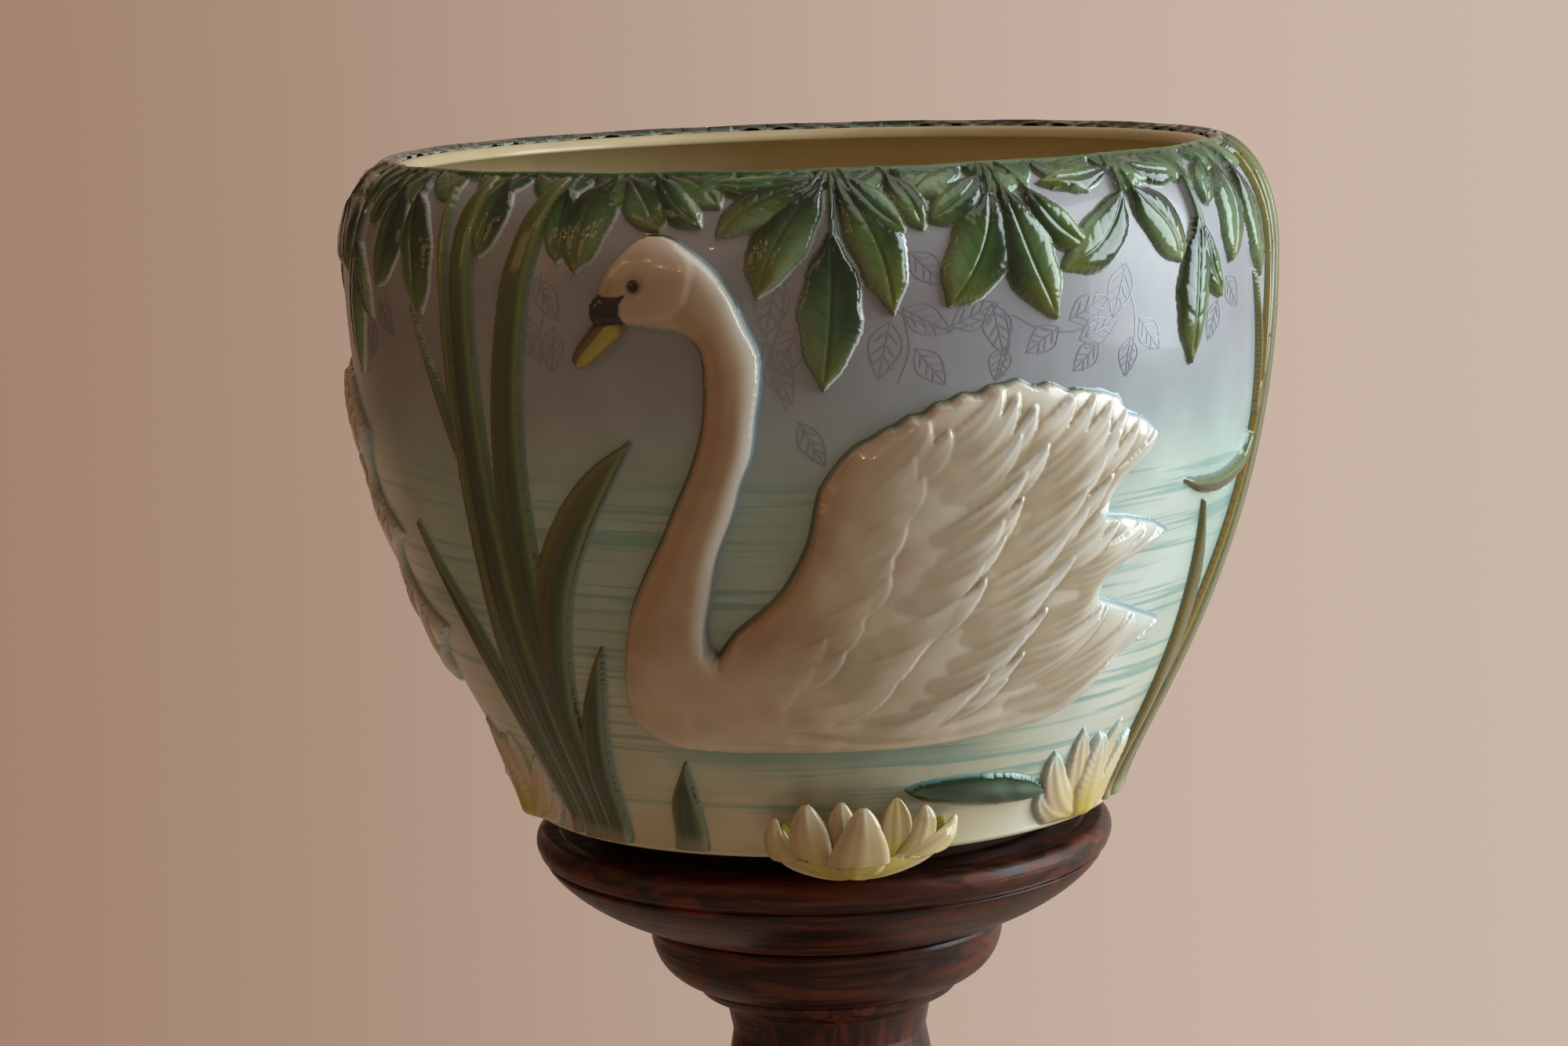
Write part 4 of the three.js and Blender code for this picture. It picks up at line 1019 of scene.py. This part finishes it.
def hull(stations):
    """The solid cup below the petals, whose back lies in the wall."""
    line = smooth_line(stations, LILY_STEPS)
    side, across, up = spread(line, 13)
    fronts = line[:, None, 3] * unit(1 - side**2) ** 0.35 - 0.2
    tint = mix(LILY_SHADE, LILY_YELLOW, 0.8 + 0.2 * side[None, :] + 0 * up)
    return across, up, fronts, np.full(up.shape, -0.4), tint, tint


def make_lily(name, petals, cup, turn_thirds):
    """The front lily: closed shells for its cup and its petals, wrapped round the wall."""
    points, faces, colours = [], [], []
    shells = [hull(cup)] + [petal(*one) for one in petals]
    for across, up, fronts, backs, tint, dark in shells:
        rows, columns = across.shape
        turned = across + turn_thirds * THIRD_ACROSS
        front = on_wall(turned, up, np.maximum(fronts, LOWEST_FRONT)).reshape(-1, 3)
        back = on_wall(turned, up, np.maximum(backs, LOWEST_BACK)).reshape(-1, 3)
        start = sum(map(len, points))
        sheet = grid_faces(rows, columns)
        rim = ring_of_grid(rows, columns)
        beside = np.roll(rim, -1)
        size = rows * columns
        # the line runs from tip to root, so the drawing's normal turns the sheet over
        faces += (sheet[:, ::-1] + start).tolist()
        faces += (sheet + start + size).tolist()
        faces += (np.stack([rim, beside, beside + size, rim + size], -1) + start).tolist()
        points += [front, back]
        colours += [tint.reshape(-1, 3), dark.reshape(-1, 3)]
    return make_object(name, np.vstack(points), faces, np.vstack(colours))


# ---- painted line leaves ------------------------------------------------------------------------

# thin grey-blue leaves drawn on the ground: [base across, base up, tip across, tip up, half width]
LINE_LEAVES = [
    (-9, 227, -14, 206, 4.2), (-3, 209, -12, 190, 4.0), (-14, 204, -6, 182, 3.6),
    (26, 210, 22, 190, 4.2), (33, 233, 44, 221, 3.6), (30, 214, 46, 205, 3.8), (46, 207, 62, 214, 3.8),
    (34, 200, 44, 187, 3.4), (60, 214, 64, 196, 3.8), (64, 199, 61, 187, 3.0), (84, 204, 72, 196, 3.6),
    (88, 206, 104, 213, 4.0), (92, 199, 108, 204, 3.8), (112, 224, 106, 205, 4.0),
    (100, 197, 90, 188, 3.2), (118, 204, 128, 192, 3.6), (114, 198, 112, 184, 3.2),
    (-100, 214, -92, 196, 3.6), (-92, 226, -84, 211, 3.4), (-86, 209, -88, 193, 3.2),
    (168, 214, 178, 202, 3.6), (162, 206, 156, 192, 3.4), (-4, 176, 4, 160, 3.0),
]
LINE_STEMS = [
    [(-6, 232), (-8, 214), (-12, 196), (-8, 180)], [(18, 222), (30, 212), (46, 206), (64, 210), (76, 204)],
    [(30, 213), (32, 200), (28, 188)], [(64, 212), (66, 200), (62, 188)],
    [(72, 206), (90, 202), (112, 210)], [(110, 224), (116, 204), (113, 184)],
    [(-90, 228), (-90, 212), (-96, 198)],
]
LINE_HALF_WIDTH = 0.26
# strokes of one leaf, as shares of its length and of its half width
LINE_CONTOUR = [(0, 0), (0.28, 0.9), (0.52, 1.0), (0.82, 0.46), (1, 0)]
LINE_VEIN = [(0, 0.06), (0.12, 0.42), (0.2, 0.74)]


def ribbon(path):
    """A thin flat line along a path of the drawing: the across and up of its two sides."""
    line = smooth_line([(*p, LINE_HALF_WIDTH, 1) for p in path], 4)
    taper = LINE_HALF_WIDTH * (0.4 + 0.6 * np.sin(np.linspace(0, np.pi, len(line))))
    return np.stack([line[:, :2] + normals(line) * taper[:, None] * k for k in (1, -1)], 1)


def make_line_leaves(name, turn_thirds):
    """The painted leaves of one third: for each its two edges, its midrib and short veins."""
    strokes = [(k, LINE_CONTOUR) for k in (1, -1, 0)]
    strokes += [
        (k, [(start + s, w) for s, w in LINE_VEIN]) for k in (1, -1) for start in (0.18, 0.4, 0.6)
    ]
    paths = list(LINE_STEMS)
    for base_u, base_v, tip_u, tip_v, narrow in LINE_LEAVES:
        half = 1.25 * narrow
        base, run = np.array([base_u, base_v], float), np.array([tip_u - base_u, tip_v - base_v])
        normal = np.array([-run[1], run[0]]) / np.hypot(*run)
        paths += [[base + run * s + normal * k * half * w for s, w in shares] for k, shares in strokes]
    points, faces = [], []
    for path in paths:
        strip = ribbon(path)
        faces += (grid_faces(len(strip), 2) + sum(map(len, points))).tolist()
        across, up = strip.reshape(-1, 2).T
        points.append(on_wall(across + turn_thirds * THIRD_ACROSS, up, LINE_RISE))
    return make_object(name, np.vstack(points), faces)


# ---- the bowl -----------------------------------------------------------------------------------


def make_bowl():
    """The hollow bowl: recessed foot, outer wall, rolled lip, inner wall and floor in one profile."""
    outside = outer_wall(WALL_STEPS)
    up = run_along(outside)
    up = up * DRAWING_HEIGHT / up[-1]
    mouth, lip_height = RIM_RADIUS - LIP, BOWL_HEIGHT - LIP
    lip = arc((RIM_RADIUS, lip_height), LIP, LIP, 90, 180, 8)[1:]
    width, height = BELLY_RADIUS - WALL - mouth, lip_height - BELLY_HEIGHT
    shoulder = arc((mouth, BELLY_HEIGHT), width, height, 90, 0, 24)[1:]
    inner = bezier(
        (BELLY_RADIUS - WALL, BELLY_HEIGHT),
        (BELLY_RADIUS - WALL, BELLY_HEIGHT - BELLY_HANDLE),
        (EDGE_RADIUS - WALL, FLOOR_HEIGHT + FLARE_HANDLE),
        (EDGE_RADIUS - 2 * WALL, FLOOR_HEIGHT),
        50,
    )[1:]
    floor = np.array([(r, FLOOR_HEIGHT) for r in (80, 60, 40, 20, 0)], float)
    foot_inside, sole = FOOT_RADIUS - FOOT_WIDTH, -FOOT_HEIGHT
    foot = np.array([
        (0, RECESS), (30, RECESS), (60, RECESS), (foot_inside - 2, RECESS), (foot_inside, RECESS - 2),
        (foot_inside, sole + FOOT_BEVEL), (foot_inside + FOOT_BEVEL, sole),
        (FOOT_RADIUS - FOOT_BEVEL, sole), (FOOT_RADIUS, sole + FOOT_BEVEL), (FOOT_RADIUS + 0.6, -5),
        (FOOT_RADIUS + 2.5, -2.2), (EDGE_RADIUS - 4, -2), (EDGE_RADIUS - 1.2, -1.6),
        (EDGE_RADIUS - 0.2, -0.6),
    ], float)
    profile = np.vstack([foot, outside, lip, shoulder, inner, floor])
    across = np.linspace(0, DRAWING_ROUND, BOWL_SEGMENTS, endpoint=False)
    # the fourth number says where the wall is painted with water
    colours = np.zeros((len(profile), BOWL_SEGMENTS, 4))
    wall = slice(len(foot), len(foot) + len(outside))
    # painted shade on the foot and the underside
    colours[: wall.start, :, :3] = FOOT_SHADE_BROWN
    colours[wall.start - 2 : wall.start, :, :3] = BANK
    colours[wall, :, :3] = ground(up[:, None] + 0 * across, across + 0 * up[:, None])
    colours[wall, :, 3] = 1
    colours[wall.stop :, :, :3] = INSIDE
    profile[:, 1] += BOWL_EDGE
    return lathe("bowl", profile, BOWL_SEGMENTS, colours)


# ---- the stand ----------------------------------------------------------------------------------

STAND_HEIGHT = 940.0
FIT_GAP = 0.3
BUN_CIRCLE_RADIUS = 136


def rounded(points, radius=1.2, steps=3):
    """A profile with the corners between its ends softened, where it turns by enough to see."""
    points = np.asarray(points, float)
    out = [points[0]]
    for before, here, after in zip(points, points[1:], points[2:]):
        to_before, to_after = before - here, after - here
        a, b = np.hypot(*to_before), np.hypot(*to_after)
        turn = np.cross(to_before, to_after) / (a * b)
        cut = min(radius, a * 0.45, b * 0.45)
        if abs(turn) < 0.12:
            out.append(here)
            continue
        start, end = here + to_before / a * cut, here + to_after / b * cut
        t = np.linspace(0, 1, steps + 1)[:, None]
        out += list((1 - t) ** 2 * start + 2 * t * (1 - t) * here + t**2 * end)
    out.append(points[-1])
    return np.array(out)


def stand_profiles():
    """The outside profile of each turned piece, [radius, height], from the stand's top down."""
    ovolo = bezier((70.7, 0), (87.8, 4.9), (104.9, 16.1), (110.5, 26), 16)
    top_edge = arc((108.6, 32.9), 4.6, 5.6, -35, 90, 8)
    cup = bezier((53.5, 0), (62.5, 3), (68.7, 9), (69.7, 20.7), 12)
    belly = bezier((29, 24), (51.5, 205.35), (60.3, 287.49), (38.2, 410.7), 36)
    ring = bezier((37, 6), (53, 6), (53, 40), (37, 40), 20)
    vase = bezier((32, 26), (32, 118), (69, 137), (32, 224), 36)
    flare = bezier((120, 16), (78, 20), (53, 48), (49, 86), 24)
    # each outline runs from the middle of the piece's underside to the middle of its top
    outlines = {
        "stand_top": [
            (0, 0), (40, 0), (68, 0), *ovolo[:-1], (109.6, 25.3), (108.6, 26), (108.6, 27.1),
            (111.6, 27.5), *top_edge, (104.4, 38.3), (103.2, 37.4), (101.6, 38.3), (99, 38.5), (0, 38.5),
        ],
        "capital": [(0, 0), (40, 0), *cup, (70.7, 23.2), (69.9, 25.7), (40, 25.7), (0, 25.7)],
        "upper_column": [
            (0, 0), (37, 0), (39, 5), (37, 10), (31, 13), *belly, (40.5, 422.2), (50.6, 427.7),
            (52.9, 431.7), (0, 431.7),
        ],
        "column_knop": [(0, 0), (37, 0), *ring, (37, 46), (0, 46)],
        "lower_column": [
            (0, 0), (42, 0), (45, 7), (42, 14), (35, 16), *vase, (37, 229), (37, 236), (0, 236),
        ],
        "base_bell": [(0, 0), (128, 0), (130, 6), (128, 12), *flare, (46, 92), (0, 92)],
        "plinth": [(0, 0), (171, 0), (175, 4), (175, 18), (171, 21), (168, 29), (163, 32), (0, 32)],
    }
    profiles, top = {}, STAND_HEIGHT
    for name, outline in outlines.items():
        profiles[name] = np.array(outline) + (0, top - outline[-1][1])
        top = profiles[name][0, 1] - FIT_GAP
    return profiles


def make_bun(name, degrees):
    """One turned foot, so many degrees round the circle that the feet stand on."""
    bulge = bezier((21.1, 0), (38.8, 2.9), (38.8, 26.6), (20.4, 29.5), 20)
    bun = lathe(name, rounded([(0, 0), *bulge, (22.4, 36), (0, 36)]), BUN_SEGMENTS)
    turn, reach = np.radians(degrees), BUN_CIRCLE_RADIUS * MM
    bun.location = (reach * np.cos(turn), reach * np.sin(turn), 0)
    return bun


# ---- materials ----------------------------------------------------------------------------------

BUMP_DISTANCE = 0.0006
# where a mix node keeps its two colours and its result
FIRST_COLOUR, SECOND_COLOUR, MIXED_COLOUR = 6, 7, 2


def opaque(code):
    """The colour of an sRGB hex code for a node's input."""
    return *shade(code), 1


class Shading:
    """The nodes of a material or of the world, with the shader that it has from the start. Inputs are
    given as numbers, colours or other nodes' outputs."""

    def __init__(self, owner, shader, coordinates="Object"):
        owner.use_nodes = True
        self.owner, self.nodes, self.links = owner, owner.node_tree.nodes, owner.node_tree.links
        self.shader = self.nodes[shader]
        self.place = self.add("TexCoord").outputs[coordinates]

    def fill(self, node, inputs):
        for socket, value in inputs.items():
            if isinstance(value, bpy.types.NodeSocket):
                self.links.new(value, node.inputs[socket])
            else:
                node.inputs[socket].default_value = value

    def add(self, kind, inputs=None, **settings):
        node = self.nodes.new("ShaderNode" + kind)
        for name, value in settings.items():
            setattr(node, name, value)
        self.fill(node, inputs or {})
        return node

    def math(self, operation, first, second):
        return self.add("Math", {0: first, 1: second}, operation=operation).outputs["Value"]

    def noise(self, scale, stretch=(1, 1, 1), detail=3.0, distortion=0.0):
        stretched = self.add("Mapping", {"Vector": self.place, "Scale": stretch}).outputs["Vector"]
        inputs = {"Vector": stretched, "Scale": scale, "Detail": detail, "Distortion": distortion}
        return self.add("TexNoise", inputs).outputs["Fac"]

    def between(self, value, low, high, to_low=0.0, to_high=1.0):
        inputs = {"Value": value, "From Min": low, "From Max": high, "To Min": to_low, "To Max": to_high}
        return self.add("MapRange", inputs, interpolation_type="SMOOTHSTEP").outputs["Result"]

    def blend(self, share, first, second, mode="MIX"):
        inputs = {"Factor": share, FIRST_COLOUR: first, SECOND_COLOUR: second}
        return self.add("Mix", inputs, data_type="RGBA", blend_type=mode).outputs[MIXED_COLOUR]

    def bump(self, height, strength):
        inputs = {"Strength": strength, "Distance": BUMP_DISTANCE, "Height": height}
        return self.add("Bump", inputs).outputs["Normal"]


def material(name, roughness, coat=0.0):
    """A new material with a clear coat of that strength over it."""
    made = Shading(bpy.data.materials.new(name), "Principled BSDF")
    made.fill(made.shader, {"Roughness": roughness, "Coat Weight": coat, "Coat Roughness": 0.04})
    return made


def glaze(name, roughness, coat, water=False):
    """A glossy glaze that takes its colour from the mesh, with uneven depth and a slightly wavy surface.
    With water, horizontal brush strokes run round the lower wall."""
    made = material(name, roughness, coat)
    painted = made.add("VertexColor", layer_name="Glaze").outputs
    tint = painted["Color"]
    if water:
        height = made.add("SeparateXYZ", {"Vector": made.place}).outputs["Z"]
        amount = made.between(made.noise(1.0, (9, 9, 330), 5.0, 0.6), 0.47, 0.66)
        low = made.between(height, (BOWL_EDGE + 5) * MM, (BOWL_EDGE + 24) * MM)
        high = made.between(height, (BOWL_EDGE + 120) * MM, (BOWL_EDGE + 165) * MM, 1.0, 0.0)
        for gate in (low, high, painted["Alpha"]):
            amount = made.math("MULTIPLY", amount, gate)
        tint = made.blend(made.between(amount, 0, 1, 0.0, 0.6), tint, (*TEAL, 1))
    mottle = made.between(made.noise(38, detail=4.0), 0.3, 0.7, 0.0, 0.16)
    tint = made.blend(mottle, tint, opaque("6d6a58"), "MULTIPLY")
    made.fill(made.shader, {"Base Color": tint, "Normal": made.bump(made.noise(55, detail=1.0), 0.5)})
    return made.owner


def two_tone(name, roughness, coat, first, second, scale, limits=()):
    """A plain material that wanders between two colours; the limits make the change sharper."""
    made = material(name, roughness, coat)
    share = made.noise(scale)
    if limits:
        share = made.between(share, *limits)
    made.fill(made.shader, {"Base Color": made.blend(share, opaque(first), opaque(second))})
    return made


def hardwood(name, grain):
    """Dark stained hardwood, turned and polished: the streaks follow the grain, which is how densely
    they lie along x, y and z, and fine turning marks run round it."""
    made = material(name, 0.4, 0.06)
    streaks = made.noise(1.0, grain, 5.0, 1.5)
    broad = made.noise(1.0, (14, 14, 22), 3.0, 1.2)
    turned = made.noise(1.0, (5, 5, 700), 2.0)
    tint = made.blend(made.between(streaks, 0.4, 0.66), opaque("2f140c"), opaque("703521"))
    made.fill(made.shader, {
        "Coat Roughness": 0.25,
        "Specular IOR Level": 0.26,
        "Base Color": made.blend(made.between(broad, 0.35, 0.7, 0.0, 0.7), tint, opaque("1d0d09")),
        "Roughness": made.between(streaks, 0.3, 0.7, 0.3, 0.5),
        "Normal": made.bump(made.math("ADD", streaks, turned), 0.6),
    })
    return made.owner


# ---- camera, light and floor --------------------------------------------------------------------


LIGHT_AIM = (0, 0, 1.08)
BULBS = [
    (-0.95, -1.5, 1.95), (-0.55, -1.55, 2.15), (-1.35, -1.0, 2.05), (-0.7, -1.7, 1.9), (-1.15, -1.35, 2.25),
]
FLOOR_RADIUS = 1900
FLOOR_CORNERS = 96


def set_up(name, data, right, top, back, place):
    """Puts a camera or a lamp at its place, with its own axes along the three directions."""
    made = bpy.data.objects.new(name, data)
    made.matrix_world = Matrix([*zip(right, top, back, place), (0, 0, 0, 1)])
    bpy.context.scene.collection.objects.link(made)
    return made


def set_camera():
    """The camera, fitted to the rim, the bottom edge and the stand's top."""
    yaw, pitch, roll = np.radians([-0.475, 8.909, -1.8])
    ahead = np.array([np.sin(yaw) * np.cos(pitch), np.cos(yaw) * np.cos(pitch), -np.sin(pitch)])
    level = np.array([np.cos(yaw), -np.sin(yaw), 0])
    upward = np.cross(level, ahead)
    right = np.cos(roll) * level + np.sin(roll) * upward
    top = -np.sin(roll) * level + np.cos(roll) * upward
    data = bpy.data.cameras.new("camera")
    data.lens = 85.86
    data.clip_start = 0.05
    camera = set_up("camera", data, right, top, -ahead, (0.0, -1.4394, 1.2817))
    bpy.context.scene.camera = camera


def area_light(name, place, width, height, watts, colour):
    """A lamp that points at the middle of the bowl."""
    data = bpy.data.lights.new(name, "AREA")
    data.shape = "RECTANGLE"
    data.size, data.size_y = width, height
    data.energy = watts
    data.color = colour
    back = np.array(place, float) - np.array(LIGHT_AIM, float)
    back /= np.linalg.norm(back)
    side = np.cross([0, 0, 1], back)
    side /= np.linalg.norm(side)
    set_up(name, data, side, np.cross(back, side), back, place).visible_camera = False


def set_light():
    """A cool window on the right, a warmer ceiling, and on the left a warm lamp and small bulbs."""
    area_light("window", (2.35, -0.15, 1.62), 1.6, 2.1, 70, (0.84, 0.96, 1.0))
    area_light("ceiling", (0.75, -0.35, 3.0), 2.0, 1.6, 12.5, (1.0, 0.94, 0.86))
    area_light("room_lamp", (-1.8, -0.9, 1.7), 0.7, 0.7, 1.5, (1.0, 0.5, 0.2))
    for i, place in enumerate(BULBS):
        area_light(f"bulb_{i}", place, 0.025, 0.025, 0.3, (1.0, 0.63, 0.33))


def set_room():
    """The room's light from all round, and the room as the camera and the glaze's reflections see it."""
    world = bpy.data.worlds.new("room")
    room = Shading(world, "Background", "Generated")
    way = room.add("SeparateXYZ", {"Vector": room.place}).outputs
    wall = opaque("4d382a")
    for left, right, code in ((-0.8, -0.3, "9e7e69"), (-0.3, 0.22, "cbb7a9"), (0.45, 0.85, "dcdcd6")):
        wall = room.blend(room.between(way["X"], left, right), wall, opaque(code))
    wall = room.blend(room.between(way["Y"], -0.2, 0.6), opaque("8d7563"), wall)
    glow = room.blend(room.between(way["X"], -0.8, 0.6), opaque("8a5a32"), opaque("e6ccb0"))
    room.fill(room.shader, {"Color": glow, "Strength": 0.24})
    seen = room.add("Background", {"Color": wall, "Strength": 1.0})
    rays = room.add("LightPath").outputs
    shown = rays["Is Camera Ray"]
    for kind in ("Is Glossy Ray", "Is Transmission Ray"):
        shown = room.math("MAXIMUM", shown, rays[kind])
    lights = {1: room.shader.outputs["Background"], 2: seen.outputs["Background"]}
    either = room.add("MixShader", {"Fac": shown, **lights})
    room.fill(room.nodes["World Output"], {"Surface": either.outputs["Shader"]})
    bpy.context.scene.world = world
    bpy.context.scene.view_settings.view_transform = "Standard"


def set_floor():
    """A round of floor just below the feet."""
    turn = np.linspace(0, 2 * np.pi, FLOOR_CORNERS, endpoint=False)
    rim = np.stack([FLOOR_RADIUS * np.cos(turn), FLOOR_RADIUS * np.sin(turn), 0 * turn - 0.2], -1)
    floor = make_object("floor", rim, [range(FLOOR_CORNERS)], smooth=False)
    floor.data.materials.append(two_tone("floor", 0.7, 0, "d8c4b2", "d4bea9", 2.0).owner)


# ---- assembly -----------------------------------------------------------------------------------


def dress(obj, finish):
    """Gives an object one material in place of any that it has."""
    obj.data.materials.clear()
    obj.data.materials.append(finish)


def finish_piece(obj, body, slot, finish, *nodes):
    """Dresses a piece, puts it on the body that it rides on and hides the nodes that it replaces. The slot is
    not used.
    """
    dress(obj, finish)
    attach(obj, body)
    if nodes:
        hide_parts(*nodes)


set_camera()
set_light()
set_room()
set_floor()

plain_glaze = glaze("glaze", 0.17, 0.3)
water_glaze = glaze("water_glaze", 0.33, 0.18, water=True)
line_paint = two_tone("painted_line", 0.15, 0.3, "9799a7", "8b8fa0", 120, (0.3, 0.7)).owner
board_wood = hardwood("board_wood", (8, 60, 130))
column_wood = hardwood("column_wood", (110, 110, 7))
steel = two_tone("screw_steel", 0.4, 0, "6f6e6a", "8d8c88", 900)
steel.fill(steel.shader, {"Metallic": 1.0})

finish_piece(make_bowl(), "jardiniere", "ground_glaze", water_glaze, "jardiniere_body")

swan, reeds, bent_reeds, sprout = make_swan(), make_reeds(), make_reeds([BENT_BLADE]), make_sprout()
garland, pad, lily = make_garland(), make_pad(), make_side_lily()
for third in range(THIRDS):
    number = third + 1
    for patch, name, slot, node in (
        (swan, "swan", "swan_glaze", f"swan_{number}"),
        (bent_reeds if third == 1 else reeds, "reeds", "reed_glaze", f"reeds_{number}"),
        (sprout, "sprout", "reed_glaze", f"reed_sprout_{number}"),
        (garland, "garland", "leaf_glaze", f"leaf_garland_{number}"),
        (pad, "pad", "pad_glaze", f"lily_pad_{number}"),
    ):
        obj = patch.piece(f"moulded_{name}_{number}", third)
        finish_piece(obj, "jardiniere", slot, plain_glaze, node)
    front_lily = make_lily(f"front_lily_{number}", FRONT_LILY, FRONT_HULL, third)
    finish_piece(front_lily, "jardiniere", "lily_glaze", plain_glaze, f"water_lily_{2 * number - 1}")
    side_lily = lily.piece(f"side_lily_{number}", third)
    finish_piece(side_lily, "jardiniere", "lily_glaze", plain_glaze, f"water_lily_{2 * number}")
    painted = make_line_leaves(f"painted_leaves_{number}", third)
    finish_piece(painted, "jardiniere", "ground_glaze", line_paint)

for node, profile in stand_profiles().items():
    wood = board_wood if node in ("stand_top", "capital", "plinth") else column_wood
    turned = lathe(f"turned_{node}", rounded(profile), COLUMN_SEGMENTS)
    finish_piece(turned, "stand", "hardwood", wood, node)
for number in range(1, 5):
    bun = make_bun(f"turned_bun_{number}", 90 * number - 45)
    finish_piece(bun, "stand", "hardwood", column_wood, f"bun_foot_{number}")
    dress(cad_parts[f"plinth_screw_{number}"], steel.owner)
